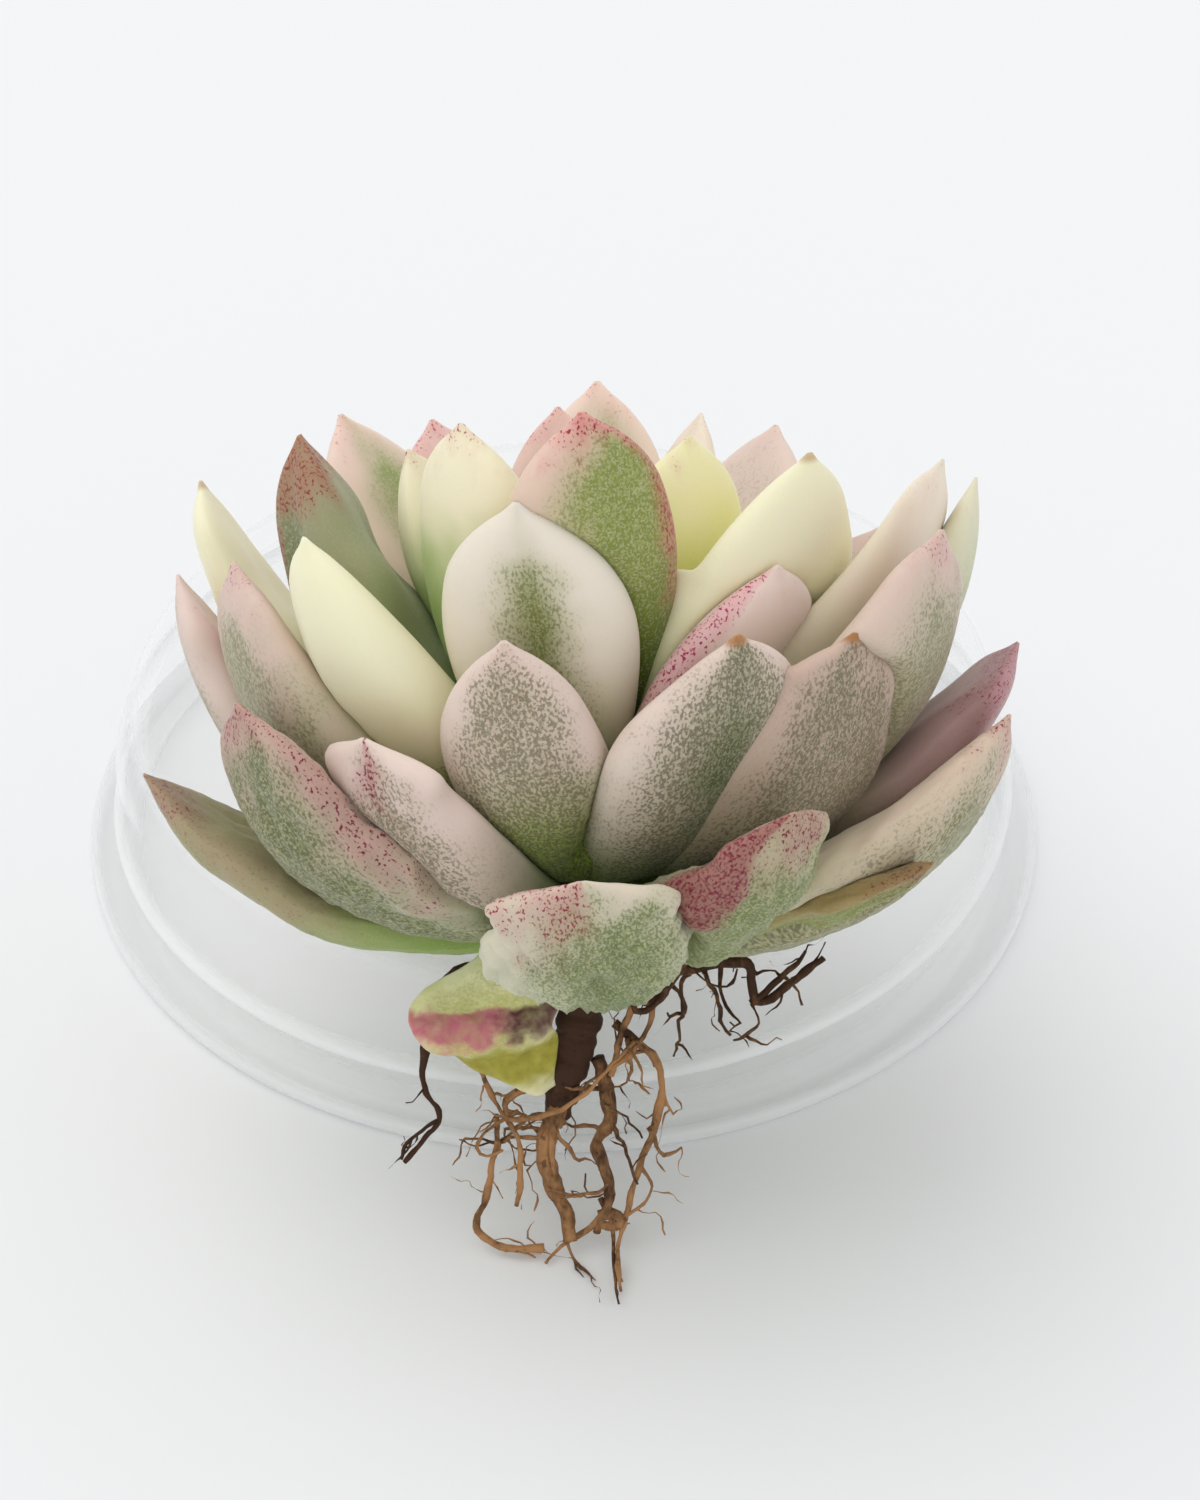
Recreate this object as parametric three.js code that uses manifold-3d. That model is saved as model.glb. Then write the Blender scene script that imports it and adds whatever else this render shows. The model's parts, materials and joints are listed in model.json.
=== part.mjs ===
// A loose rosette of a fat-leaved succulent with its bare stem and roots, leaning on an
// upturned round plastic tub. Millimetres, +Z up, the front of the object looks along -Y.
import * as THREE from 'three';
import { mergeVertices } from 'three/addons/utils/BufferGeometryUtils.js';
import Module from 'manifold-3d';

const wasm = await Module();
wasm.setup();

// ---- driving dimensions ----
const GAP = 0.3; // clear space between touching pieces

// upturned tub: closed side up, mouth down, with a wide bead round the mouth
const TUB = {
  rimRadius: 31, rimHeight: 1.6, shoulder: 0.6, mouthRadius: 28.8, wallRadius: 28.7,
  topRadius: 27.9, height: 12.1, wall: 1.2, edgeRound: 1.5, sides: 44,
};
// raised screw thread round its wall, a little more than one turn
const THREAD = {
  radius: 28.9, ridge: 0.65, ridgeSides: 6, start: -200, turns: 1.12, low: 3.1, pitch: 4.2, steps: 32,
};

const ROSETTE = {
  place: [1.5, -29.5, 18.0], // where the lowest leaves leave the stem
  backTilt: 17, rightLift: 4, // degrees
};
const STEM = { radius: 1.6, topRadius: 1.1, height: 14.5, below: 2.0, sides: 12 };

// outline of a leaf seen flat: share of the length, share of the half width
const LEAF_OUTLINE = [
  [0, 0], [0.0, 0.26], [0.12, 0.42], [0.3, 0.76], [0.48, 0.98], [0.64, 0.98],
  [0.8, 0.8], [0.92, 0.45], [1.0, 0],
];
const LEAF_SIDES = 8;
const LEAF_START = 2.4; // from the stem's middle line
const UPPER_FACE = 0.75; // the face towards the heart is flatter
const LOWER_FACE = 1.1; // the face away from it is full

// turn (0 = front, 90 = right), lift from the rosette's own plane, place up the stem,
// length, width, thickness, upward curl in degrees
const LEAVES = {
  low_leaf: [
    [2, 33, 0.0, 20, 11.8, 6.2, 50],
    [34, 33, 1.0, 23, 10.5, 6.2, 40],
    [58, 20, 0.0, 22, 5.4, 2.6, 12],
    [78, 27, 1.5, 26, 12.5, 6.0, 44],
    [108, 8, 0.5, 22, 9.0, 4.2, 16],
    [136, 10, 0.5, 25, 9.5, 4.2, 16],
    [164, 10, 0.5, 25, 9.5, 4.2, 16],
    [-166, 11, 0.5, 25, 9.5, 4.2, 16],
    [-138, 12, 0.5, 25, 9.5, 4.2, 16],
    [-111, 10, 0.5, 20, 9.0, 4.2, 16],
    [-82, 28, 0.5, 25, 8.8, 4.6, 34],
    [-62, 42, 2.5, 24, 11.5, 6.0, 40],
    [-37, 46, 2.5, 20.5, 10.4, 6.0, 30],
  ],
  middle_leaf: [
    [-10, 55, 5.0, 22, 9.4, 5.6, 26],
    [32, 51, 4.5, 22.5, 11.8, 6.0, 30],
    [58, 44, 5.0, 22, 9.4, 6.0, 26],
    [79, 41, 7.0, 26, 12.4, 6.2, 40],
    [95, 24, 4.0, 26, 10.4, 5.6, 36],
    [104, 36, 7.0, 28, 10.8, 5.6, 38],
    [130, 28, 5.0, 26, 9.8, 5.2, 24],
    [156, 27, 5.0, 26, 9.8, 5.2, 24],
    [-174, 27, 5.0, 26, 9.8, 5.2, 24],
    [-148, 28, 5.0, 26, 9.8, 5.2, 24],
    [-117, 41, 6.5, 28, 11.4, 5.6, 38],
    [-99, 40, 5.0, 26, 9.6, 6.0, 40],
    [-84, 49, 6.0, 24, 11.2, 6.2, 38],
    [-56, 56, 7.5, 24, 9.6, 6.2, 20],
  ],
  inner_leaf: [
    [-8, 67, 9.0, 22, 11.0, 5.6, 18],
    [57, 55, 7.5, 19.2, 11.0, 5.2, 20],
    [67, 60, 9.5, 22.4, 13.0, 5.2, 26],
    [97, 40, 9.0, 26, 12.4, 5.6, 34],
    [140, 42, 8.0, 24, 9.8, 5.2, 18],
    [172, 50, 7.5, 25, 9.8, 5.2, 18],
    [-158, 43, 8.5, 24, 9.8, 5.2, 18],
    [-132, 54, 8.5, 24, 9.4, 5.2, 18],
    [-92, 62, 9.0, 24, 8.6, 6.0, 18],
    [-34, 76, 11.0, 22, 10.5, 5.0, 12],
    [12, 69, 11.5, 24, 12.0, 5.2, 14],
  ],
  heart_leaf: [
    [74, 74, 12.0, 18, 9.0, 4.0, 12],
    [134, 59, 11.5, 18.5, 7.8, 4.2, 12],
    [178, 64, 11.5, 18, 7.8, 4.2, 12],
    [-120, 66, 12.0, 17, 7.6, 4.2, 12],
    [150, 76, 13.5, 15, 6.4, 3.6, 8],
    [-70, 80, 13.5, 14, 6.0, 3.2, 8],
    [-150, 76, 14.0, 12, 5.0, 3.0, 8],
    [90, 82, 14.5, 11, 4.6, 2.8, 8],
  ],
};

// bare stem below the leaves, from the rosette down
const STEM_ROUTE = [[1.4, -30.4, 16.6], [1.4, -31.9, 14.2], [0.9, -33.2, 11.8], [0.1, -34.7, 8.8]];

// routes of the roots, from where each leaves the stem
const ROOTS = {
  tap_root: {
    radius: 0.75,
    route: [[-0.2, -35.4, 7.8], [-0.9, -36.3, 5.2], [0.3, -37.8, 2.6], [0.6, -38.9, 1.1]],
  },
  front_root: {
    radius: 0.45,
    route: [[2.6, -34.4, 9.8], [3.0, -35.6, 7.6], [2.1, -36.4, 6.4], [3.0, -37.6, 4.0], [2.2, -38.6, 1.5]],
  },
  right_root: {
    radius: 0.4,
    route: [
      [3.2, -32.8, 12.8], [5.4, -34.0, 11.4], [6.0, -35.2, 9.0], [4.8, -36.8, 5.6], [3.8, -38.2, 2.2],
      [3.4, -40.2, 0.9], [3.6, -42.4, 0.7],
    ],
  },
  side_root: {
    radius: 0.5,
    route: [
      [4.0, -31.4, 15.9], [6.2, -31.6, 15.8], [8.4, -31.5, 16.2], [10.8, -31.8, 16.5], [11.4, -32.6, 14.4],
      [13.2, -32.4, 15.3], [15.2, -31.8, 17.0],
    ],
  },
  left_root: {
    radius: 0.35,
    route: [
      [-1.0, -31.2, 14.8], [-4.6, -31.4, 16.0], [-6.9, -32.0, 14.6], [-7.8, -33.9, 11.6], [-7.7, -34.9, 9.4],
      [-7.0, -35.6, 7.6], [-9.0, -36.6, 5.4],
    ],
  },
  thin_root: {
    radius: 0.35,
    route: [
      [-2.6, -34.6, 9.6], [-3.2, -35.4, 8.6], [-2.5, -36.2, 7.0], [-2.2, -37.0, 5.0], [-2.6, -37.8, 3.0],
    ],
  },
  loop_root: {
    radius: 0.4,
    route: [
      [-0.9, -39.3, 0.9], [-3.4, -39.2, 0.9], [-4.9, -38.2, 1.6], [-4.4, -37.4, 3.2], [-3.8, -36.4, 5.2],
      [-3.6, -35.2, 7.8],
    ],
  },
};
const ROOT_SIDES = 6;
const STEPS_PER_POINT = 3; // along a stem or root
const SAME_CORNER = 1e-4; // corners closer than this are one

// withered leaf that hangs under the rosette: place of its base, turn, slope, then as above
const HANGING_LEAF = { base: [-0.6, -33.4, 15.6], turn: -44, lift: -20, size: [10.5, 8, 2.2, -20] };

const COLOURS = { leaf: '#b9bf9f', stem: '#4a3527', root: '#8a6b4a', tub: '#eef0f0' };
const ROUGHNESS = { leaf: 0.5, stem: 0.9, root: 0.9, tub: 0.35 };

const deg = THREE.MathUtils.degToRad;

// ---- closed solids: joining, cutting, back to geometry ----
function solidOf(geometry) {
  const bare = geometry.clone();
  bare.deleteAttribute('normal');
  bare.deleteAttribute('uv');
  const merged = mergeVertices(bare, SAME_CORNER);
  return new wasm.Manifold(new wasm.Mesh({
    numProp: 3,
    vertProperties: merged.attributes.position.array,
    triVerts: new Uint32Array(merged.index.array),
  }));
}

function geometryOf(solid) {
  const mesh = solid.getMesh();
  const geometry = new THREE.BufferGeometry();
  geometry.setAttribute('position', new THREE.BufferAttribute(mesh.vertProperties, 3));
  geometry.setIndex(new THREE.BufferAttribute(mesh.triVerts, 1));
  geometry.computeVertexNormals();
  return geometry;
}

// A solid turned about the upright axis from [radius, height] points.
function turned(profile, sides) {
  const points = profile.map(([radius, height]) => new THREE.Vector2(radius, height));
  return new THREE.LatheGeometry(points, sides).rotateX(Math.PI / 2);
}

function meshOf(name, geometry, finish) {
  const material = new THREE.MeshStandardMaterial({
    color: COLOURS[finish], roughness: ROUGHNESS[finish], metalness: 0,
  });
  const mesh = new THREE.Mesh(geometry, material);
  mesh.name = name;
  return mesh;
}

// ---- leaves ----
// A leaf along +X from its base at the origin, +Z towards the heart; swell pads it all round.
function leafGeometry([length, width, thickness, curl], swell) {
  const profile = LEAF_OUTLINE.map(([along, half]) => new THREE.Vector2(half, along));
  const geometry = new THREE.LatheGeometry(profile, LEAF_SIDES);
  const position = geometry.attributes.position;
  const bend = deg(curl);
  const bendRadius = length / bend;
  for (let i = 0; i < position.count; i += 1) {
    const side = -position.getX(i);
    const up = position.getZ(i);
    const along = position.getY(i);
    const face = up > 0 ? UPPER_FACE : LOWER_FACE;
    const x = along * (length + 2 * swell) - swell;
    const y = side * (width / 2 + swell);
    const z = up * (thickness / 2 + swell) * face;
    const angle = x / bendRadius;
    const reach = bendRadius - z;
    position.setXYZ(i, reach * Math.sin(angle), y, bendRadius - reach * Math.cos(angle));
  }
  geometry.rotateY(bend / 2); // the line from base to tip now lies along +X
  return geometry;
}

// Moves a leaf's own frame to its place in the rosette.
function leafPlace(turn, lift, up, out) {
  const around = new THREE.Matrix4().makeRotationZ(deg(turn - 90));
  const raise = new THREE.Matrix4().makeRotationY(-deg(lift));
  const start = new THREE.Matrix4().makeTranslation(out, 0, up);
  return around.multiply(start).multiply(raise);
}

function rosettePlace() {
  const lean = new THREE.Euler(-deg(ROSETTE.backTilt), -deg(ROSETTE.rightLift), 0);
  return new THREE.Matrix4().makeRotationFromEuler(lean).setPosition(...ROSETTE.place);
}

// Each leaf gives way to the older leaves below it, so none run through each other.
function leafSolids() {
  const older = [];
  const solids = {};
  for (const [kind, rows] of Object.entries(LEAVES)) {
    rows.forEach(([turn, lift, up, ...size], index) => {
      const place = leafPlace(turn, lift, up, LEAF_START);
      let solid = solidOf(leafGeometry(size, 0).applyMatrix4(place));
      for (const neighbour of older) solid = solid.subtract(neighbour);
      const pieces = solid.decompose().sort((a, b) => b.volume() - a.volume());
      solids[`${kind}_${String(index + 1).padStart(2, '0')}`] = pieces[0];
      older.push(solidOf(leafGeometry(size, GAP).applyMatrix4(place)));
    });
  }
  return solids;
}

function rosette() {
  const group = new THREE.Group();
  for (const [name, solid] of Object.entries(leafSolids())) {
    group.add(meshOf(name, geometryOf(solid), 'leaf'));
  }
  group.applyMatrix4(rosettePlace());
  return group;
}

function hangingLeaf() {
  const { base, turn, lift, size } = HANGING_LEAF;
  const place = leafPlace(turn, lift, 0, 0);
  const mesh = meshOf('hanging_leaf', leafGeometry(size, 0).applyMatrix4(place), 'leaf');
  mesh.position.set(...base);
  return mesh;
}

// ---- stem and roots ----
// The short crown inside the rosette, which the leaves grow from.
function stemCrown() {
  const { radius, topRadius, height, below, sides } = STEM;
  const waist = height / 2;
  return turned([[0, -below], [radius, -below], [radius, waist], [topRadius, height], [0, height]], sides);
}

// A round tube through the points.
function tube(points, radius, sides, steps) {
  const section = new THREE.Shape();
  for (let i = 0; i < sides; i += 1) {
    const angle = (2 * Math.PI * i) / sides;
    const [x, y] = [radius * Math.cos(angle), radius * Math.sin(angle)];
    if (i === 0) section.moveTo(x, y);
    else section.lineTo(x, y);
  }
  section.closePath();
  const route = points.map((point) => new THREE.Vector3(...point));
  const extrudePath = new THREE.CatmullRomCurve3(route, false, 'centripetal');
  return new THREE.ExtrudeGeometry(section, { extrudePath, steps, bevelEnabled: false });
}

// One woody piece: the crown that the leaves grow from and the bare stem under it.
function stemMesh() {
  const crown = solidOf(stemCrown().applyMatrix4(rosettePlace()));
  const steps = STEPS_PER_POINT * (STEM_ROUTE.length - 1);
  const bare = solidOf(tube(STEM_ROUTE, STEM.radius, STEM.sides, steps));
  return meshOf('stem', geometryOf(crown.add(bare)), 'stem');
}

function rootMesh(name, { radius, route }) {
  const steps = STEPS_PER_POINT * (route.length - 1);
  return meshOf(name, tube(route, radius, ROOT_SIDES, steps), 'root');
}

// ---- tub ----
function tubShell() {
  const { rimRadius, rimHeight, shoulder, mouthRadius, wallRadius } = TUB;
  const { topRadius, height, wall, edgeRound, sides } = TUB;
  const ceiling = height - wall;
  const innerTop = topRadius - wall;
  const inside = [
    [0, ceiling], [innerTop - edgeRound, ceiling], [innerTop, ceiling - edgeRound],
    [wallRadius - wall, rimHeight], [mouthRadius, 0],
  ];
  const outside = [
    [rimRadius, 0], [rimRadius, rimHeight], [wallRadius, rimHeight + shoulder],
    [topRadius, height - edgeRound], [topRadius - edgeRound, height], [0, height],
  ];
  return turned([...inside, ...outside], sides);
}

function tubThread() {
  const { radius, ridge, ridgeSides, start, turns, low, pitch, steps } = THREAD;
  const points = [];
  for (let i = 0; i <= steps; i += 1) {
    const share = (i / steps) * turns;
    const angle = deg(start) + share * 2 * Math.PI;
    points.push([radius * Math.cos(angle), radius * Math.sin(angle), low + share * pitch]);
  }
  return tube(points, ridge, ridgeSides, steps);
}

function tubMesh() {
  const solid = solidOf(tubShell()).add(solidOf(tubThread()));
  return meshOf('tub', geometryOf(solid), 'tub');
}

// ---- whole object ----
const plantOnTub = new THREE.Group();
plantOnTub.add(tubMesh(), rosette(), hangingLeaf(), stemMesh());
for (const [name, root] of Object.entries(ROOTS)) plantOnTub.add(rootMesh(name, root));

// stands with its lowest point at zero and its middle over the origin
plantOnTub.updateMatrixWorld(true);
const box = new THREE.Box3().setFromObject(plantOnTub, true);
const middle = box.getCenter(new THREE.Vector3());
plantOnTub.position.set(-middle.x, -middle.y, -box.min.z);

const object = new THREE.Group();
object.add(plantOnTub);
export default object;
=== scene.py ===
"""A bare-rooted succulent rosette resting on an upturned frosted tub, built round its frame."""
import json
import math

import bpy
import numpy as np
from mathutils import Matrix, Vector, noise
from mathutils.bvhtree import BVHTree


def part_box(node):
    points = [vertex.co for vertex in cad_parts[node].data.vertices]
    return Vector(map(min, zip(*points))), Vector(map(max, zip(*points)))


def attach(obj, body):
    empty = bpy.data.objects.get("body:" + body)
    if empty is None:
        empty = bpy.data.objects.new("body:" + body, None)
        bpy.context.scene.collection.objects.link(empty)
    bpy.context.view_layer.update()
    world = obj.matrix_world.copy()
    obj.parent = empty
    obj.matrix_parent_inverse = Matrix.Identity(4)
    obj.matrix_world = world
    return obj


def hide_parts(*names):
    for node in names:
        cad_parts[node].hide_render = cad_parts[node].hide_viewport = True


bl_info = {
    "name": "Bare-rooted succulent on a tub",
    "version": (1, 0, 0),
    "blender": (4, 5, 0),
    "location": "View3D > Sidebar > Succulent",
    "description": "Grows the leaves, stem, roots and tub of a small succulent round its frame",
    "category": "Add Mesh",
}

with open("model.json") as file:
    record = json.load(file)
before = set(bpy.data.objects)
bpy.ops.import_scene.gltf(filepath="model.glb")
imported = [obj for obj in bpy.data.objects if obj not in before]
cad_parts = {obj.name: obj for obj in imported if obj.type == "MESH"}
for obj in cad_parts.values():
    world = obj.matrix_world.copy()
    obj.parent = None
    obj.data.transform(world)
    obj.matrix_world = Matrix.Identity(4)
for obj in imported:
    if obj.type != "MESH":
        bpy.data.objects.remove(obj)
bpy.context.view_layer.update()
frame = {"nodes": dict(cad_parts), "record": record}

MM = 0.001
BODY = "root"

TUB_LOW, TUB_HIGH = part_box("tub")
TUB_CENTRE = (TUB_LOW + TUB_HIGH) / 2
CROWN_HEIGHT = 14.5 * MM  # of the part of the stem that leaves grow from


def srgb(red, green, blue, alpha=1.0):
    """A colour as seen on a screen, as the linear colour that shaders use."""
    def linear(value):
        return value / 12.92 if value <= 0.04045 else ((value + 0.055) / 1.055) ** 2.4
    return (linear(red), linear(green), linear(blue), alpha)


# ---------------------------------------------------------------- settings

def length(name, description, default):
    return bpy.props.FloatProperty(
        name=name, description=description, default=default, min=0.0, unit="LENGTH", precision=5)


def amount(name, description, default):
    return bpy.props.FloatProperty(
        name=name, description=description, default=default, min=0.0, max=1.0, subtype="FACTOR")


def angle(name, description, default):
    return bpy.props.FloatProperty(
        name=name, description=description, default=math.radians(default), subtype="ANGLE")


def colour(name, description, default):
    return bpy.props.FloatVectorProperty(
        name=name, description=description, default=default, size=4, min=0.0, max=1.0,
        subtype="COLOR")


class LeafSettings(bpy.types.PropertyGroup):
    lean_back: angle("Lean back", "How far the rosette leans away from the front", 17)
    lean_right: angle("Lean right", "How far the rosette leans to the right", 4)
    lower_fill: amount("Lower fill", "How full the face away from the heart is", 0.85)
    hollow: amount("Hollow", "How hollow the face towards the heart is", 0.3)
    uneven: length("Unevenness", "How far the surface wanders from a true shape", 0.22 * MM)
    fold: length("Fold depth", "Depth of the folds in a shrivelled leaf", 0.75 * MM)
    press: length("Press depth", "How far a leaf gives way to an older one", 2.6 * MM)
    flesh_depth: length("Flesh depth", "How deep light reaches into a leaf", 1.3 * MM)
    speckle: length("Speckle size", "Size of the green grains under the skin", 0.17 * MM)


class RootSettings(bpy.types.PropertyGroup):
    hair: length("Hair radius", "Radius of the finest root hairs", 0.05 * MM)
    wander: length("Wander", "How far a root wanders from its route", 0.16 * MM)
    dark: colour("Dark bark", "Colour of old bark", srgb(0.25, 0.16, 0.10))
    light: colour("Young root", "Colour of a young dry root", srgb(0.68, 0.50, 0.33))


class TubSettings(bpy.types.PropertyGroup):
    wall: length("Wall", "Thickness of the tub's wall", 1.2 * MM)
    ridge: length("Thread ridge", "Height of the screw thread's ridge", 0.75 * MM)
    pitch: length("Thread pitch", "Rise of the thread in one turn", 4.2 * MM)
    plastic: colour("Plastic", "Colour of the frosted plastic", srgb(0.98, 0.985, 0.985))


class StageSettings(bpy.types.PropertyGroup):
    pitch: angle("View pitch", "How far the camera looks down", 39.2)
    distance: length("View distance", "From the camera to the point it looks at", 281 * MM)
    lens: bpy.props.FloatProperty(
        name="Lens", description="Focal length of the camera", default=100.0, unit="CAMERA")
    floor: colour("Floor", "Colour of the pale floor", srgb(0.94, 0.94, 0.943))
    lights: bpy.props.FloatProperty(
        name="Lights", description="Strength of the broad lights, 1 as usual", default=1.0, min=0.0)


# ---------------------------------------------------------------- node trees

class Tree:
    """Short ways to fill a node tree."""

    def __init__(self, tree, keep=False):
        self.tree = tree
        if not keep:
            tree.nodes.clear()

    def node(self, kind, values=None, **settings):
        made = self.tree.nodes.new(kind)
        for name, value in settings.items():
            setattr(made, name, value)
        for name, value in (values or {}).items():
            if isinstance(value, bpy.types.NodeSocket):
                self.tree.links.new(value, made.inputs[name])
            else:
                made.inputs[name].default_value = value
        return made

    def math(self, operation, first, second=0.0, third=0.0, clamp=False):
        values = {0: first, 1: second, 2: third}
        made = self.node("ShaderNodeMath", values, operation=operation, use_clamp=clamp)
        return made.outputs[0]

    def ease(self, value, low, high):
        """0 below low, 1 above high, smooth between."""
        values = {"Value": value, "From Min": low, "From Max": high}
        made = self.node("ShaderNodeMapRange", values, interpolation_type="SMOOTHSTEP")
        return made.outputs["Result"]

    def mix(self, share, first, second):
        made = self.node("ShaderNodeMix", {0: share, 6: first, 7: second}, data_type="RGBA")
        return made.outputs[2]

    def noise(self, vector, scale, detail=2.0, roughness=0.5):
        values = {"Vector": vector, "Scale": scale, "Detail": detail, "Roughness": roughness}
        return self.node("ShaderNodeTexNoise", values).outputs["Fac"]

    def stretch(self, vector, scale):
        """The pattern on vector, drawn out where scale is under 1."""
        return self.node("ShaderNodeMapping", {"Vector": vector, "Scale": scale}).outputs[0]


def new_group(name, inputs, outputs):
    """An empty shader node group with its sockets: returns its Tree, its inputs and its end."""
    group = bpy.data.node_groups.new(name, "ShaderNodeTree")
    for socket, kind, default in inputs:
        made = group.interface.new_socket(socket, in_out="INPUT", socket_type=kind)
        made.default_value = default
    for socket, kind in outputs:
        group.interface.new_socket(socket, in_out="OUTPUT", socket_type=kind)
    tree = Tree(group)
    given = tree.node("NodeGroupInput").outputs
    return tree, given, tree.node("NodeGroupOutput").inputs


COLOUR, NUMBER = "NodeSocketColor", "NodeSocketFloat"

# what a leaf's skin is told: its colours, then where the green lies under the skin and where
# the pink pigment is, as shares of the leaf's length and half width
SKIN = {
    "Cream": srgb(0.93, 0.89, 0.81), "Blush": srgb(0.93, 0.82, 0.78),
    "Under": srgb(0.64, 0.59, 0.46), "Green": srgb(0.33, 0.35, 0.17),
    # Base is the leaf foot's own green, made lighter and yellower than it is: painted glow of light
    # shining through the thin flesh
    "Core": srgb(0.34, 0.42, 0.13), "Base": srgb(0.62, 0.70, 0.38),
    "Tip": srgb(0.70, 0.18, 0.32),
    "Patch": 0.9, "Patch Side": 0.0, "Patch Width": 0.7, "Patch Low": 0.0, "Patch Top": 0.9,
    "Inner": 0.35, "Core Amount": 0.0, "Core Height": 0.5,
    "Base Height": 0.2, "Speckle": 0.62, "Blush From": 0.55,
    "Tip From": 0.93, "Tip Amount": 0.3, "Tip Side": 0.0, "Tip Width": 1.6,
    "Edge Amount": 0.0, "Edge Side": 0.0, "Edge From": 0.55, "Ridge Amount": 0.0, "Dry Tip": 0.0,
    "Grain Size": 1 / (0.2 * MM),
}
PALE_WAX = srgb(0.88, 0.87, 0.80)
DEEP_PINK = srgb(0.36, 0.08, 0.16)
DRY_SKIN = srgb(0.66, 0.46, 0.27)
OLD_SOIL = srgb(0.13, 0.09, 0.07)


def around(tree, value, line, below, above):
    """0 up to below the line, 1 from above it."""
    return tree.ease(value, tree.math("SUBTRACT", line, below), tree.math("ADD", line, above))


def window(tree, value, low, high, soft):
    """1 between low and high, fading out over soft on both sides."""
    rise = around(tree, value, low, soft, soft)
    fall = tree.ease(value, tree.math("ADD", high, soft), tree.math("SUBTRACT", high, soft))
    return tree.math("MULTIPLY", rise, fall)


def near_line(tree, value, line, width, soft):
    """1 within width of a line, fading out over soft."""
    aside = tree.math("ABSOLUTE", tree.math("SUBTRACT", value, line))
    return tree.ease(aside, tree.math("ADD", width, soft), tree.math("SUBTRACT", width, soft))


def green_masks(tree, given, spot, wander, grains):
    """How dense the green under the skin is, its grains, and the deep green of its core."""
    t, x, face = spot
    streak, grain = grains
    across = tree.math("MULTIPLY_ADD", wander, 0.6, x)
    height = tree.math("MULTIPLY_ADD", wander, 0.4, t)
    side = near_line(tree, across, given["Patch Side"], given["Patch Width"], 0.46)
    between = window(tree, height, given["Patch Low"], given["Patch Top"], 0.13)
    inside = tree.math("MULTIPLY", side, between)
    bare = tree.math("SUBTRACT", 1.0, given["Inner"])
    hidden = tree.math("MULTIPLY", tree.ease(face, -0.1, 0.35), bare)
    inside = tree.math("MULTIPLY", inside, tree.math("SUBTRACT", 1.0, hidden))
    lively = tree.math("MULTIPLY_ADD", streak, 1.1, 0.45)
    inside = tree.math("MULTIPLY", inside, given["Patch"])
    density = tree.math("MULTIPLY", inside, lively, clamp=True)
    threshold = tree.math("MULTIPLY_ADD", density, -0.18, 0.64)
    dots = around(tree, grain, threshold, 0.07, 0.07)
    dots = tree.math("MULTIPLY", dots, tree.ease(density, 0.0, 0.6))
    middle = near_line(tree, across, given["Patch Side"], 0.26, 0.4)
    level = near_line(tree, height, given["Core Height"], 0.16, 0.3)
    core = tree.math("MULTIPLY", middle, level)
    core = tree.math("MULTIPLY", core, given["Core Amount"], clamp=True)
    return density, dots, core


def pigment_mask(tree, given, spot, wander, streak):
    """Where the pink pigment lies: at the tip, along a margin and along the ridge below."""
    t, x, face = spot
    ragged = tree.math("MULTIPLY_ADD", streak, 0.2, -0.1)
    height = tree.math("ADD", tree.math("MULTIPLY_ADD", wander, 0.3, t), ragged)
    across = tree.math("MULTIPLY_ADD", wander, 0.5, x)
    tip = around(tree, height, given["Tip From"], 0.06, 0.12)
    tip_side = near_line(tree, across, given["Tip Side"], given["Tip Width"], 0.2)
    tip = tree.math("MULTIPLY", tree.math("MULTIPLY", tip, tip_side), given["Tip Amount"])
    side = given["Edge Side"]
    both = tree.math("SUBTRACT", 1.0, tree.math("ABSOLUTE", side))
    outward = tree.math("MULTIPLY", tree.math("ABSOLUTE", x), both)
    outward = tree.math("MULTIPLY_ADD", x, side, outward)
    outward = tree.math("MULTIPLY_ADD", wander, 0.6, outward)
    edge = tree.ease(outward, given["Edge From"], tree.math("ADD", given["Edge From"], 0.35))
    edge = tree.math("MULTIPLY", edge, tree.ease(height, 0.25, 0.7))
    edge = tree.math("MULTIPLY", edge, given["Edge Amount"])
    ridge = near_line(tree, across, 0.0, 0.08, 0.1)
    ridge = tree.math("MULTIPLY", ridge, tree.ease(height, 0.35, 0.7))
    ridge = tree.math("MULTIPLY", ridge, tree.ease(face, 0.1, -0.2))
    ridge = tree.math("MULTIPLY", ridge, given["Ridge Amount"])
    return tree.math("MAXIMUM", tree.math("MAXIMUM", tip, edge), ridge)


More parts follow.
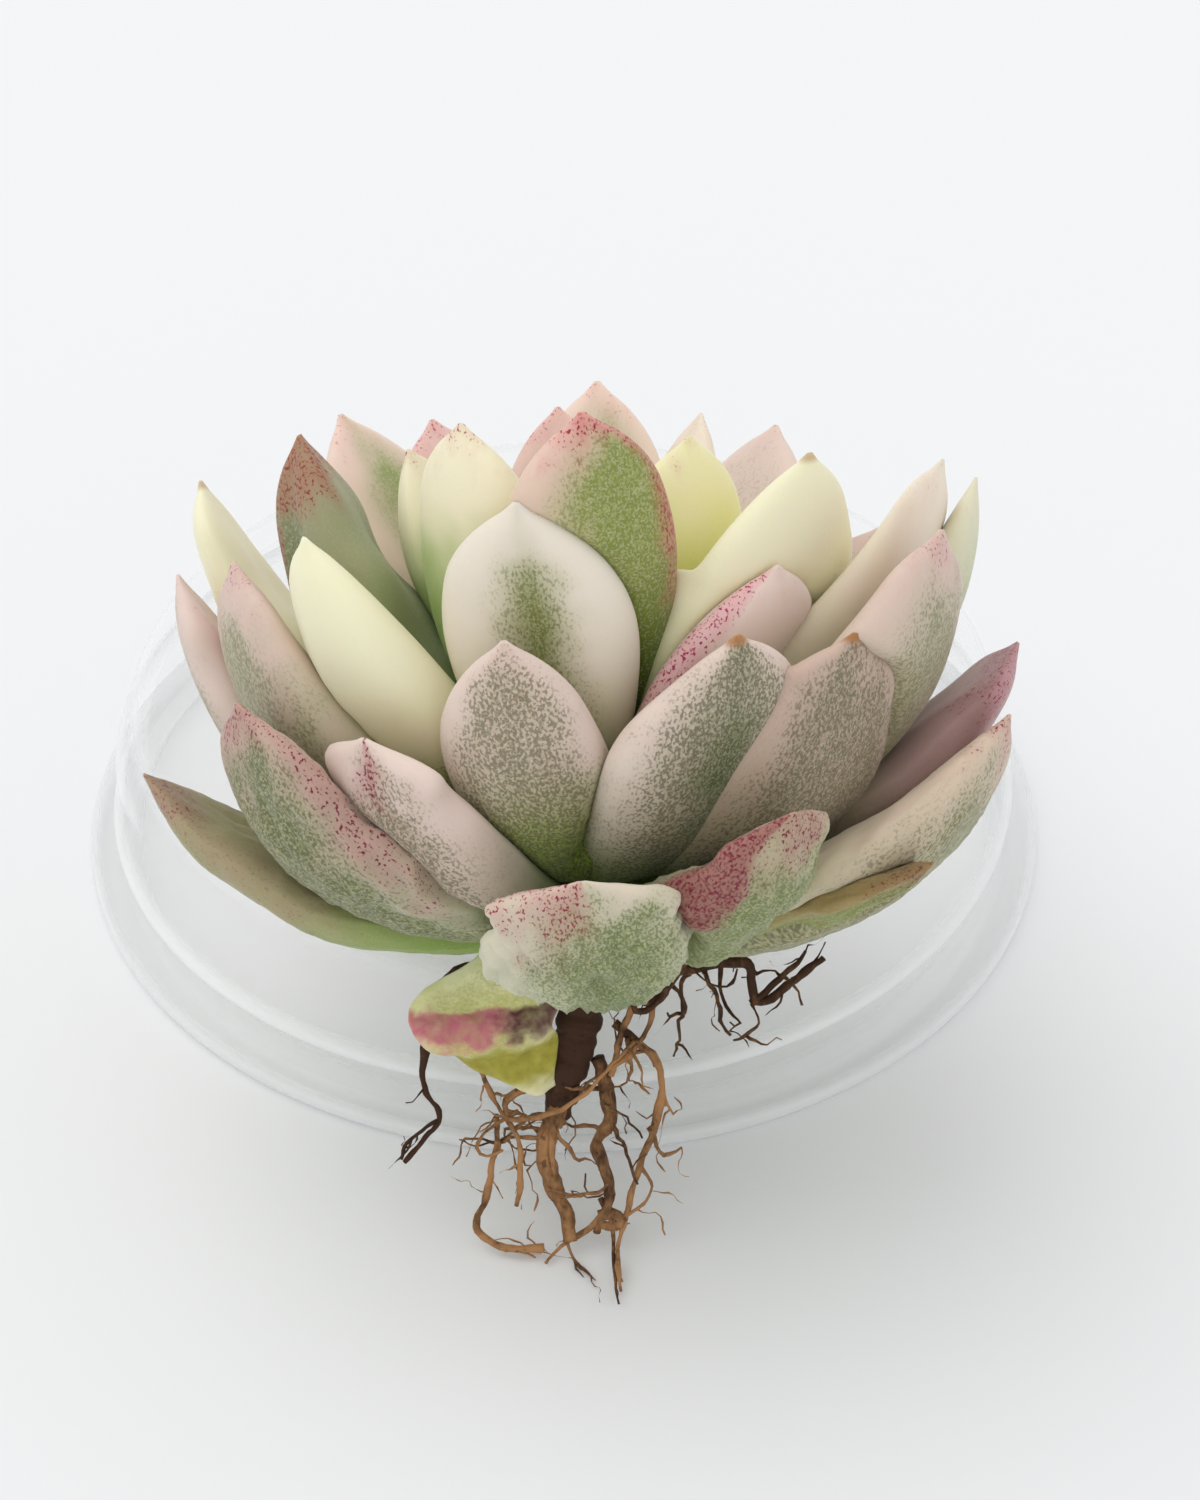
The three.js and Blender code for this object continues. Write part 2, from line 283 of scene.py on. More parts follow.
def leaf_skin_group():
    """Skin of a leaf: waxy cream to pink over green grains, with pink pigment and specks, and a green
    foot made lighter than it is as painted glow of light through it.
    """
    inputs = [(name, COLOUR if isinstance(value, tuple) else NUMBER, value)
              for name, value in SKIN.items()]
    outputs = [("Color", COLOUR), ("Roughness", NUMBER), ("Height", NUMBER)]
    tree, given, result = new_group("leaf skin", inputs, outputs)
    share = tree.node("ShaderNodeAttribute", attribute_name="leaf_share").outputs["Vector"]
    place = tree.node("ShaderNodeAttribute", attribute_name="leaf_place").outputs["Vector"]
    spot = tree.node("ShaderNodeSeparateXYZ", {0: share}).outputs
    t = spot[0]
    grain_size = given["Grain Size"]
    grain = tree.noise(tree.stretch(place, (0.7, 1, 1)), grain_size, 1.0)
    wax = tree.noise(place, tree.math("MULTIPLY", grain_size, 1.3), 0.0)
    streak = tree.noise(tree.stretch(place, (0.3, 1, 1)), 900, 2.0)
    wander = tree.math("SUBTRACT", tree.noise(place, 260, 2.0), 0.5)
    density, dots, core = green_masks(tree, given, spot, wander, (streak, grain))
    pigment = pigment_mask(tree, given, spot, wander, streak)

    height = tree.math("MULTIPLY_ADD", wander, 0.5, t)
    blush = around(tree, height, given["Blush From"], 0.3, 0.3)
    skin = tree.mix(blush, given["Cream"], given["Blush"])
    skin = tree.mix(tree.math("MULTIPLY", density, 0.85), skin, given["Under"])
    # the leaf's foot: its own green, lightened and yellowed to paint the glow of light through it
    # where shade falls between the leaves
    height = tree.math("MULTIPLY_ADD", wander, 0.2, t)
    skin = tree.mix(around(tree, height, given["Base Height"], 0.16, 0.2), given["Base"], skin)
    skin = tree.mix(core, skin, given["Core"])
    skin = tree.mix(tree.math("MULTIPLY", dots, given["Speckle"]), skin, given["Green"])
    waxy = tree.math("MULTIPLY_ADD", density, 0.2, 0.03)
    skin = tree.mix(tree.math("MULTIPLY", tree.ease(wax, 0.52, 0.68), waxy), skin, PALE_WAX)
    skin = tree.mix(tree.math("MULTIPLY", pigment, 0.5), skin, given["Tip"])
    specks = tree.ease(grain, tree.math("MULTIPLY_ADD", pigment, -0.2, 0.66), 0.7)
    specks = tree.math("MULTIPLY", specks, tree.ease(pigment, 0.0, 0.5))
    skin = tree.mix(specks, skin, tree.mix(0.4, given["Tip"], DEEP_PINK))
    dry = tree.math("MULTIPLY", tree.ease(t, 0.975, 0.992), given["Dry Tip"])
    skin = tree.mix(dry, skin, DRY_SKIN)
    links = tree.tree.links
    links.new(skin, result["Color"])
    links.new(tree.math("MULTIPLY_ADD", grain, 0.2, 0.42), result["Roughness"])
    bumps = tree.math("MULTIPLY_ADD", wax, 0.5, tree.math("MULTIPLY", grain, 0.6))
    links.new(tree.math("ADD", bumps, tree.math("MULTIPLY", streak, 0.9)), result["Height"])
    return tree.tree


def bark_group():
    """Dry fibrous bark: light and dark stretches, streaked fibres, specks of old soil."""
    inputs = [("Dark", COLOUR, srgb(0.25, 0.16, 0.10)), ("Light", COLOUR, srgb(0.68, 0.50, 0.33)),
              ("Darkness", NUMBER, 0.4)]
    outputs = [("Color", COLOUR), ("Roughness", NUMBER), ("Height", NUMBER)]
    tree, given, result = new_group("bark", inputs, outputs)
    place = tree.node("ShaderNodeTexCoord").outputs["Object"]
    stretches = tree.noise(place, 330, 3.0)
    fibre = tree.noise(tree.stretch(place, (1, 1, 0.35)), 3200, 3.0, 0.6)
    soil = tree.noise(place, 1500, 2.0)
    shade = tree.math("MULTIPLY_ADD", stretches, 0.9, tree.math("MULTIPLY", fibre, 0.4))
    shade = tree.math("MULTIPLY_ADD", given["Darkness"], -0.6, shade)
    light = tree.ease(shade, 0.18, 0.62)
    bark = tree.mix(light, given["Dark"], given["Light"])
    bark = tree.mix(tree.math("MULTIPLY", tree.ease(soil, 0.6, 0.72), 0.6), bark, OLD_SOIL)
    links = tree.tree.links
    links.new(bark, result["Color"])
    links.new(tree.math("MULTIPLY_ADD", fibre, 0.25, 0.65), result["Roughness"])
    links.new(tree.math("ADD", fibre, tree.math("MULTIPLY", soil, 0.7)), result["Height"])
    return tree.tree


def group_of(name, maker):
    return bpy.data.node_groups.get(name) or maker()


def skin_material(name, group, values, bump, constants):
    """A material whose colour, roughness and relief come from a group; the rest are constants."""
    material = bpy.data.materials.new(name)
    material.use_nodes = True
    tree = Tree(material.node_tree)
    skin = tree.node("ShaderNodeGroup", node_tree=group)
    for key, value in values.items():
        skin.inputs[key].default_value = value
    strength, depth = bump
    relief = tree.node("ShaderNodeBump", {"Strength": strength, "Distance": depth,
                                          "Height": skin.outputs["Height"]})
    shader = tree.node("ShaderNodeBsdfPrincipled", {
        "Base Color": skin.outputs["Color"], "Roughness": skin.outputs["Roughness"],
        "Normal": relief.outputs["Normal"], **constants})
    tree.node("ShaderNodeOutputMaterial", {"Surface": shader.outputs[0]})
    return material


def leaf_material(look):
    """The skin of one leaf look."""
    name = "leaf " + look
    if name in bpy.data.materials:
        return bpy.data.materials[name]
    leaf = bpy.context.scene.leaf_settings
    values = {**SKIN, **LOOKS[look], "Grain Size": 1 / leaf.speckle}
    constants = {
        "Subsurface Weight": 0.3, "Subsurface Radius": (1.0, 0.75, 0.4),
        "Subsurface Scale": leaf.flesh_depth, "IOR": 1.4, "Specular IOR Level": 0.4,
        "Sheen Weight": 0.12, "Sheen Roughness": 0.5,
    }
    return skin_material(name, group_of("leaf skin", leaf_skin_group), values,
                         (0.28, 0.06 * MM), constants)


def bark_material(name, darkness):
    if name in bpy.data.materials:
        return bpy.data.materials[name]
    root = bpy.context.scene.root_settings
    values = {"Dark": root.dark, "Light": root.light, "Darkness": darkness}
    return skin_material(name, group_of("bark", bark_group), values, (0.8, 0.12 * MM),
                         {"Specular IOR Level": 0.25})


# ---------------------------------------------------------------- looks of the leaves

# colours that several looks start from; what a look leaves out stays as in SKIN
PINK_GREY = {"Cream": srgb(0.89, 0.86, 0.79), "Blush": srgb(0.90, 0.82, 0.78),
             "Under": srgb(0.62, 0.56, 0.46), "Green": srgb(0.31, 0.31, 0.17)}
# a look's Base is its leaf foot's green, lightened as painted glow of light through the flesh
LOOKS = {
    "speckled": {
        **PINK_GREY, "Patch": 1.05, "Patch Width": 0.8, "Patch Side": -0.05, "Patch Top": 1.0,
        "Core": srgb(0.26, 0.38, 0.08), "Core Amount": 1.0, "Core Height": 0.72,
        "Base": srgb(0.66, 0.73, 0.42), "Base Height": 0.24, "Tip Amount": 0.1, "Dry Tip": 0.9,
        "Under": srgb(0.70, 0.66, 0.55), "Green": srgb(0.28, 0.28, 0.15),
    },
    "pink grey": {
        **PINK_GREY, "Patch": 1.0, "Patch Width": 0.74, "Patch Top": 0.97,
        "Base": srgb(0.60, 0.70, 0.28), "Base Height": 0.5, "Tip Amount": 0.16,
        "Under": srgb(0.72, 0.66, 0.56), "Green": srgb(0.34, 0.33, 0.19),
    },
    "grey pink": {
        **PINK_GREY, "Cream": srgb(0.84, 0.80, 0.70), "Under": srgb(0.68, 0.63, 0.52), "Patch": 0.8,
        "Speckle": 0.45, "Base": srgb(0.58, 0.67, 0.32), "Base Height": 0.44, "Tip Amount": 0.25,
    },
    "grey": {
        **PINK_GREY, "Cream": srgb(0.76, 0.71, 0.60), "Blush": srgb(0.80, 0.70, 0.64),
        "Patch": 1.05, "Patch Width": 0.8, "Patch Side": 0.12, "Patch Top": 1.0,
        "Green": srgb(0.36, 0.34, 0.24), "Base": srgb(0.62, 0.70, 0.40), "Base Height": 0.26,
        "Tip Amount": 0.1, "Dry Tip": 1.0,
    },
    "blotched": {
        "Cream": srgb(0.91, 0.89, 0.78), "Blush": srgb(0.92, 0.88, 0.82),
        "Under": srgb(0.70, 0.68, 0.48), "Green": srgb(0.40, 0.43, 0.15),
        "Core": srgb(0.38, 0.46, 0.09), "Core Amount": 0.9, "Core Height": 0.66, "Patch": 0.9,
        "Patch Width": 0.36, "Patch Side": 0.06, "Patch Top": 0.86, "Base": srgb(0.86, 0.85, 0.66),
        "Tip Amount": 0.1, "Tip From": 0.97, "Base Height": 0.3,
    },
    "green": {
        "Cream": srgb(0.80, 0.78, 0.62), "Blush": srgb(0.90, 0.78, 0.72),
        "Under": srgb(0.56, 0.61, 0.26), "Green": srgb(0.38, 0.46, 0.10),
        "Core": srgb(0.38, 0.47, 0.11), "Core Amount": 0.6, "Core Height": 0.4, "Patch": 1.2,
        "Patch Width": 0.74, "Patch Side": 0.32, "Patch Low": -0.2, "Patch Top": 0.93,
        "Base": srgb(0.37, 0.46, 0.09), "Base Height": 0.5, "Speckle": 0.45, "Blush From": 0.7,
        "Tip": srgb(0.78, 0.20, 0.32), "Tip From": 0.94, "Tip Amount": 1.0, "Edge Amount": 0.9,
        "Edge Side": 1.0, "Edge From": 0.66,
    },
    "cream": {
        "Cream": srgb(0.94, 0.935, 0.76), "Blush": srgb(0.95, 0.93, 0.80), "Patch": 0.0,
        "Base": srgb(0.85, 0.87, 0.54), "Tip Amount": 0.0, "Dry Tip": 0.6, "Base Height": 0.36,
    },
    "cream green": {
        "Cream": srgb(0.88, 0.90, 0.70), "Blush": srgb(0.95, 0.92, 0.80),
        "Base": srgb(0.58, 0.69, 0.38), "Base Height": 0.66, "Patch": 0.2, "Patch Top": 0.6,
        "Speckle": 0.25, "Tip From": 0.96, "Tip Amount": 0.6,
    },
    "yellow": {
        "Cream": srgb(0.93, 0.93, 0.60), "Blush": srgb(0.95, 0.92, 0.76), "Patch": 0.0,
        "Base": srgb(0.84, 0.87, 0.42), "Blush From": 0.75, "Tip From": 0.95, "Tip Amount": 0.7,
    },
    "cream sprayed": {
        "Cream": srgb(0.94, 0.93, 0.76), "Blush": srgb(0.95, 0.935, 0.80),
        "Under": srgb(0.78, 0.80, 0.54), "Green": srgb(0.48, 0.54, 0.24),
        "Base": srgb(0.62, 0.69, 0.34), "Base Height": 0.24, "Patch": 0.6, "Patch Low": -0.2,
        "Patch Top": 0.42, "Patch Width": 1.2, "Tip Amount": 0.0,
    },
    "pink tipped": {
        "Cream": srgb(0.78, 0.79, 0.64), "Blush": srgb(0.86, 0.77, 0.72),
        "Under": srgb(0.62, 0.61, 0.46), "Green": srgb(0.40, 0.41, 0.26), "Patch": 0.9,
        "Patch Side": 0.1, "Base": srgb(0.54, 0.66, 0.24), "Base Height": 0.44, "Speckle": 0.5,
        "Blush From": 0.62, "Tip Amount": 0.35,
    },
    "peach": {
        "Cream": srgb(0.93, 0.91, 0.78), "Blush": srgb(0.94, 0.89, 0.82), "Patch": 0.15,
        "Patch Top": 0.5, "Base": srgb(0.76, 0.80, 0.52), "Tip Amount": 0.2,
    },
    "pale green": {
        "Cream": srgb(0.80, 0.83, 0.68), "Blush": srgb(0.88, 0.87, 0.76),
        "Under": srgb(0.70, 0.76, 0.56), "Patch": 0.7, "Speckle": 0.15, "Tip Amount": 0.1,
    },
    "mauve": {
        "Cream": srgb(0.70, 0.64, 0.55), "Blush": srgb(0.74, 0.61, 0.60),
        "Under": srgb(0.50, 0.48, 0.36), "Green": srgb(0.33, 0.37, 0.20), "Patch": 0.85,
        "Patch Top": 0.7, "Base": srgb(0.40, 0.50, 0.17), "Base Height": 0.46,
        "Tip": srgb(0.64, 0.30, 0.42), "Tip From": 0.84, "Tip Amount": 0.7,
    },
    "rose margin": {
        "Cream": srgb(0.91, 0.88, 0.80), "Blush": srgb(0.93, 0.85, 0.81),
        "Under": srgb(0.78, 0.77, 0.64), "Patch": 0.7, "Patch Side": 0.4, "Patch Width": 0.45,
        "Patch Top": 0.65, "Green": srgb(0.50, 0.52, 0.32), "Tip": srgb(0.80, 0.22, 0.44),
        "Tip Amount": 0.2, "Edge Amount": 0.7, "Edge Side": -1.0, "Edge From": 0.68,
    },
    "red ridge": {
        "Cream": srgb(0.60, 0.66, 0.44), "Blush": srgb(0.62, 0.62, 0.48),
        "Under": srgb(0.52, 0.56, 0.40), "Green": srgb(0.42, 0.44, 0.28), "Patch": 0.9,
        "Speckle": 0.4, "Base": srgb(0.58, 0.68, 0.42), "Tip": srgb(0.66, 0.26, 0.22),
        "Tip From": 0.86, "Tip Amount": 0.9, "Ridge Amount": 1.0,
    },
    "green stripe": {
        "Cream": srgb(0.92, 0.89, 0.76), "Blush": srgb(0.93, 0.84, 0.78),
        "Under": srgb(0.52, 0.61, 0.27), "Green": srgb(0.45, 0.55, 0.18), "Patch": 1.1,
        "Patch Width": 0.36, "Patch Side": -0.2, "Inner": 1.0, "Speckle": 0.2,
        "Tip": srgb(0.86, 0.45, 0.52), "Tip From": 0.95, "Tip Amount": 0.5,
    },
    "pink": {
        "Cream": srgb(0.89, 0.85, 0.70), "Blush": srgb(0.90, 0.78, 0.74), "Patch": 0.6,
        "Under": srgb(0.62, 0.66, 0.38), "Inner": 0.9, "Speckle": 0.2, "Patch Top": 0.75,
        "Tip": srgb(0.84, 0.44, 0.50), "Tip From": 0.88, "Tip Amount": 0.5,
    },
    "low green": {
        "Cream": srgb(0.60, 0.66, 0.40), "Blush": srgb(0.66, 0.62, 0.48),
        "Under": srgb(0.50, 0.56, 0.30), "Green": srgb(0.38, 0.45, 0.18), "Speckle": 0.35,
        "Base": srgb(0.52, 0.62, 0.30), "Base Height": 0.4, "Tip": srgb(0.60, 0.32, 0.38),
        "Tip From": 0.86, "Tip Amount": 0.6, "Edge Amount": 0.2, "Edge Side": 1.0,
    },
    "wrinkled": {
        **PINK_GREY, "Cream": srgb(0.74, 0.75, 0.63), "Blush": srgb(0.80, 0.70, 0.64),
        "Under": srgb(0.48, 0.51, 0.31), "Green": srgb(0.30, 0.34, 0.17), "Patch": 1.1,
        "Patch Width": 0.74, "Patch Side": -0.05, "Base": srgb(0.62, 0.68, 0.48),
        "Tip": srgb(0.56, 0.12, 0.23), "Tip From": 0.92, "Tip Amount": 0.9, "Edge Amount": 0.6,
        "Edge Side": 1.0, "Edge From": 0.66,
    },
    "spotted": {
        **PINK_GREY, "Cream": srgb(0.84, 0.81, 0.74), "Under": srgb(0.66, 0.58, 0.49), "Patch": 1.0,
        "Patch Top": 0.9, "Base": srgb(0.58, 0.66, 0.40), "Base Height": 0.34,
        "Tip": srgb(0.58, 0.10, 0.24), "Tip From": 0.86, "Tip Amount": 1.0, "Tip Width": 0.22,
        "Tip Side": 0.05,
    },
    "shrivelled": {
        "Cream": srgb(0.80, 0.80, 0.69), "Blush": srgb(0.86, 0.81, 0.74),
        "Under": srgb(0.56, 0.59, 0.38), "Green": srgb(0.33, 0.40, 0.14),
        "Core": srgb(0.31, 0.41, 0.09), "Core Amount": 0.8, "Core Height": 0.55, "Patch": 1.0,
        "Patch Width": 0.66, "Patch Side": 0.22, "Patch Top": 0.95, "Base": srgb(0.70, 0.74, 0.58),
        "Blush From": 0.8, "Tip": srgb(0.68, 0.13, 0.27), "Tip From": 0.84, "Tip Amount": 0.65,
        "Tip Side": -0.5, "Tip Width": 0.55,
    },
    "banded": {
        "Cream": srgb(0.66, 0.71, 0.50), "Blush": srgb(0.76, 0.71, 0.60),
        "Under": srgb(0.52, 0.56, 0.34), "Green": srgb(0.35, 0.42, 0.17), "Patch": 1.1,
        "Patch Width": 0.9, "Patch Side": 0.1, "Base": srgb(0.62, 0.72, 0.50),
        "Tip": srgb(0.54, 0.11, 0.22), "Tip From": 0.92, "Tip Amount": 0.85, "Edge Amount": 1.3,
        "Edge Side": -1.0, "Edge From": 0.5,
    },
    "pink spotted": {
        "Cream": srgb(0.80, 0.77, 0.64), "Blush": srgb(0.86, 0.78, 0.70),
        "Under": srgb(0.58, 0.57, 0.40), "Green": srgb(0.34, 0.37, 0.20), "Patch": 1.05,
        "Patch Width": 0.8, "Patch Side": 0.0, "Inner": 0.1, "Base": srgb(0.60, 0.67, 0.44),
        "Tip": srgb(0.62, 0.15, 0.25), "Tip From": 0.92, "Tip Amount": 0.8,
    },
    "thin": {
        "Cream": srgb(0.58, 0.62, 0.36), "Blush": srgb(0.62, 0.52, 0.34),
        "Under": srgb(0.52, 0.58, 0.30), "Green": srgb(0.44, 0.48, 0.22), "Speckle": 0.3,
        "Tip": srgb(0.45, 0.30, 0.18), "Base": srgb(0.55, 0.66, 0.34), "Tip From": 0.82,
        "Tip Amount": 0.9,
    },
    "withered": {
        "Cream": srgb(0.90, 0.89, 0.70), "Blush": srgb(0.89, 0.86, 0.68),
        "Under": srgb(0.80, 0.80, 0.48), "Green": srgb(0.64, 0.63, 0.24), "Inner": 1.0,
        "Speckle": 0.25, "Base": srgb(0.92, 0.91, 0.74), "Tip Amount": 0.0,
    },
}

# each leaf: its look, then what sets it apart from PLAIN_LEAF. fold is 1 for a shrivelled leaf,
# keel is the height of the ridge below, wide and blunt shape its outline. sweep and shift bend it
# and move its base to its right, and sag swells it outwards, all in millimetres. roll is in
# degrees. With an order above 0 it gives way to leaves that would otherwise give way to it
LEAVES = {
    "low_leaf": [
        ("shrivelled", {"fold": 1.0, "blunt": 0.9, "wide": 1.08}),
        ("banded", {"fold": 0.8, "keel": 0.1, "blunt": 0.5}),
        ("thin", {"fold": 0.5, "sweep": 0.3, "keel": 0.5}),
        ("pink spotted", {"fold": 0.3, "sweep": -1.0, "sag": 1.4, "roll": 18, "wide": 1.1,
                          "blunt": 0.3}),
        ("low green", {"fold": 0.3, "keel": 0.2}),
        ("pink tipped", {"fold": 0.1, "sweep": 0.3}),
        ("grey", {"fold": 0.1, "sweep": -0.3}),
        ("low green", {"sweep": 0.2}),
        ("pink tipped", {"fold": 0.1}),
        ("low green", {"fold": 0.2, "sweep": -0.2}),
        ("low green", {"fold": 0.35, "sweep": 0.3, "sag": 0.8, "wide": 1.1}),
        ("wrinkled", {"fold": 0.75, "sweep": 0.8, "sag": 1.6, "roll": -12, "wide": 1.1, "blunt": 0.3}),
        ("spotted", {"fold": 0.1, "sweep": 0.4, "sag": 0.8, "blunt": 0.8, "shift": -0.8}),
    ],
    "middle_leaf": [
        ("pink grey", {}),
        ("speckled", {"shift": 1.2, "wide": 1.06}),
        ("grey", {"roll": 24, "order": 0.4, "sag": 1.8, "sweep": -1.2, "wide": 1.35, "blunt": 0.4,
                  "shift": 1.0}),
        ("pink tipped", {"sweep": -1.0, "sag": 2.0, "wide": 1.1, "roll": 28, "blunt": 0.3,
                         "order": 0.6}),
        ("mauve", {"roll": 12, "sag": 1.6, "blunt": 0.9, "wide": 1.1}),
        ("pale green", {"roll": 28, "sag": 2.2, "blunt": 0.3}),
        ("pink tipped", {"sweep": 0.2}),
        ("cream", {}),
        ("pink grey", {"sweep": 0.2}),
        ("green", {}),
        ("cream", {"roll": -28, "sag": 1.6, "blunt": 0.4}),
        ("grey pink", {"roll": -18, "sag": 2.0, "blunt": 0.6}),
        ("pink tipped", {"roll": -22, "sweep": 0.8, "sag": 2.2, "wide": 1.08, "blunt": 0.3}),
        ("cream sprayed", {"sweep": -0.6, "keel": 0.1}),
    ],
    "inner_leaf": [
        ("blotched", {"sweep": 0.2}),
        ("rose margin", {"roll": 10, "wide": 1.15, "shift": 1.4}),
        ("cream", {"roll": 20, "wide": 1.1, "shift": 3.0, "order": 0.3}),
        ("peach", {"roll": 38, "sag": 2.2, "wide": 1.1, "blunt": 0.4}),
        ("grey pink", {"sweep": -0.3}),
        ("green stripe", {}),
        ("pink", {}),
        ("green stripe", {}),
        ("red ridge", {"keel": 0.6, "roll": -8, "sag": 0.6}),
        ("cream green", {}),
        ("green", {"keel": 0.08, "sweep": 0.4}),
    ],
    "heart_leaf": [
        ("yellow", {"roll": 34, "wide": 1.2, "shift": 1.0}),
        ("peach", {"roll": 20}),
        ("pink", {}),
        ("cream green", {}),
        ("green stripe", {}),
        ("yellow", {}),
        ("pink", {}),
        ("cream", {}),
    ],
}
PLAIN_LEAF = {"fold": 0.0, "sweep": 0.0, "sag": 0.0, "keel": 0.0, "roll": 0.0, "wide": 1.0,
              "blunt": 0.0, "order": 0.0, "shift": 0.0}


# ---------------------------------------------------------------- modelling helpers

def deselect_all():
    if bpy.context.object and bpy.context.object.mode != "OBJECT":
        bpy.ops.object.mode_set(mode="OBJECT")
    bpy.ops.object.select_all(action="DESELECT")


def make_active(piece):
    deselect_all()
    piece.select_set(True)
    bpy.context.view_layer.objects.active = piece


def cad_points(node):
    """A CAD node's corners in the row frame, as an array."""
    vertices = frame["nodes"][node].data.vertices
    points = np.empty(len(vertices) * 3)
    vertices.foreach_get("co", points)
    return points.reshape(-1, 3)


def mesh_points(mesh):
    points = np.empty(len(mesh.vertices) * 3)
    mesh.vertices.foreach_get("co", points)
    return points.reshape(-1, 3)


def set_points(mesh, points):
    mesh.vertices.foreach_set("co", np.ascontiguousarray(points, dtype=np.float32).ravel())
    mesh.update()


def add_attribute(mesh, name, values):
    attribute = mesh.attributes.new(name, "FLOAT_VECTOR", "POINT")
    attribute.data.foreach_set("vector", np.ascontiguousarray(values, dtype=np.float32).ravel())


def finish_piece(piece, name, material, slot, *nodes):
    """Names a piece, gives it its finish and puts it in place of its CAD nodes."""
    piece.name = name
    piece.data.name = name
    piece.data.materials.clear()
    piece.data.materials.append(material)
    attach(piece, BODY)
    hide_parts(*nodes)
    return piece


def smooth_shade(piece):
    make_active(piece)
    bpy.ops.object.shade_smooth()


def refine(piece, kind):
    """Splits every face in four; kind is SIMPLE, or CATMULL_CLARK to round it as well."""
    make_active(piece)
    finer = piece.modifiers.new("finer", "SUBSURF")
    finer.subdivision_type = kind
    finer.levels = finer.render_levels = 1
    bpy.ops.object.modifier_apply(modifier=finer.name)


def face_outwards(merge=0.0):
    """Turns the active piece's faces outwards, after merging doubles closer than merge."""
    bpy.ops.object.mode_set(mode="EDIT")
    bpy.ops.mesh.select_all(action="SELECT")
    if merge:
        bpy.ops.mesh.remove_doubles(threshold=merge)
    bpy.ops.mesh.normals_make_consistent(inside=False)
    bpy.ops.object.mode_set(mode="OBJECT")


# ---------------------------------------------------------------- leaves

# the blank of a leaf: share of its length, half width and half thickness
BLANK = [
    (0.00, 0.34, 0.50), (0.06, 0.42, 0.60), (0.16, 0.56, 0.78), (0.28, 0.75, 0.93),
    (0.42, 0.92, 1.0), (0.55, 1.00, 0.97), (0.67, 0.985, 0.88), (0.77, 0.88, 0.74),
    (0.85, 0.71, 0.58), (0.91, 0.50, 0.42), (0.95, 0.305, 0.27), (0.975, 0.15, 0.145),
    (0.992, 0.07, 0.07), (1.0, 0.035, 0.035),
]
BLANK_RINGS = 52
BLANK_SIDES = 44
BELLY = 0.56  # share of the length where a leaf's middle line lies farthest from its chord
FINE_FOLD = 0.2  # leaves folded more than this get a finer mesh
PRESS_FREE = 0.78  # share of the length where pressing starts to fade out
PRESS_FADE = 0.16
PRESS_GAP = 0.03 * MM


def smooth_table(rows, at):
    """The table's other columns at the places asked for, on a smooth curve through its rows."""
    table = np.array(rows)
    result = []
    for column in table.T[1:]:
        slope = np.gradient(column, table[:, 0])
        place = np.clip(np.searchsorted(table[:, 0], at, side="right") - 1, 0, len(table) - 2)
        left, right = table[place, 0], table[place + 1, 0]
        width = right - left
        u = (at - left) / width
        result.append((2 * u**3 - 3 * u**2 + 1) * column[place]
                      + (u**3 - 2 * u**2 + u) * width * slope[place]
                      + (3 * u**2 - 2 * u**3) * column[place + 1]
                      + (u**3 - u**2) * width * slope[place + 1])
    return result


def leaf_blank():
    """A plump closed leaf of length 1 along +Y, half width and half thickness 1."""
    if "leaf blank" in bpy.data.meshes:
        return bpy.data.meshes["leaf blank"]
    along = 1 - (1 - np.linspace(0, 1, BLANK_RINGS)) ** 1.25
    widths, depths = smooth_table(BLANK, along)
    deselect_all()
    bpy.ops.mesh.primitive_circle_add(
        vertices=BLANK_SIDES, radius=1.0, fill_type="TRIFAN", rotation=(math.pi / 2, 0, 0))
    blank = bpy.context.object
    bpy.ops.object.transform_apply(location=False, rotation=True, scale=False)
    bpy.ops.object.mode_set(mode="EDIT")
    bpy.ops.mesh.select_all(action="SELECT")
    bpy.ops.transform.resize(value=(widths[0], 1, depths[0]))
    for i in range(1, BLANK_RINGS):
        step = (0, along[i] - along[i - 1], 0)
        bpy.ops.mesh.extrude_region_move(TRANSFORM_OT_translate={"value": step})
        bpy.ops.transform.resize(
            value=(widths[i] / widths[i - 1], 1, depths[i] / depths[i - 1]),
            center_override=(0, along[i], 0))
    bpy.ops.mesh.select_all(action="SELECT")
    bpy.ops.mesh.normals_make_consistent(inside=False)
    bpy.ops.object.mode_set(mode="OBJECT")
    mesh = blank.data
    mesh.name = "leaf blank"
    mesh.use_fake_user = True
    bpy.data.objects.remove(blank)
    return mesh


def rosette_axis():
    """The line the leaves grow round: the seat of the lowest leaves, and its direction."""
    leaf = bpy.context.scene.leaf_settings
    direction = Vector((0, 0, 1))
    direction.rotate(Matrix.Rotation(-leaf.lean_right, 3, "Y"))
    direction.rotate(Matrix.Rotation(-leaf.lean_back, 3, "X"))
    direction = np.array(direction)
    points = cad_points("stem")
    height = points @ direction
    top = points[height > height.max() - 0.02 * MM]
    top = (top.min(0) + top.max(0)) / 2
    return top - direction * CROWN_HEIGHT, direction


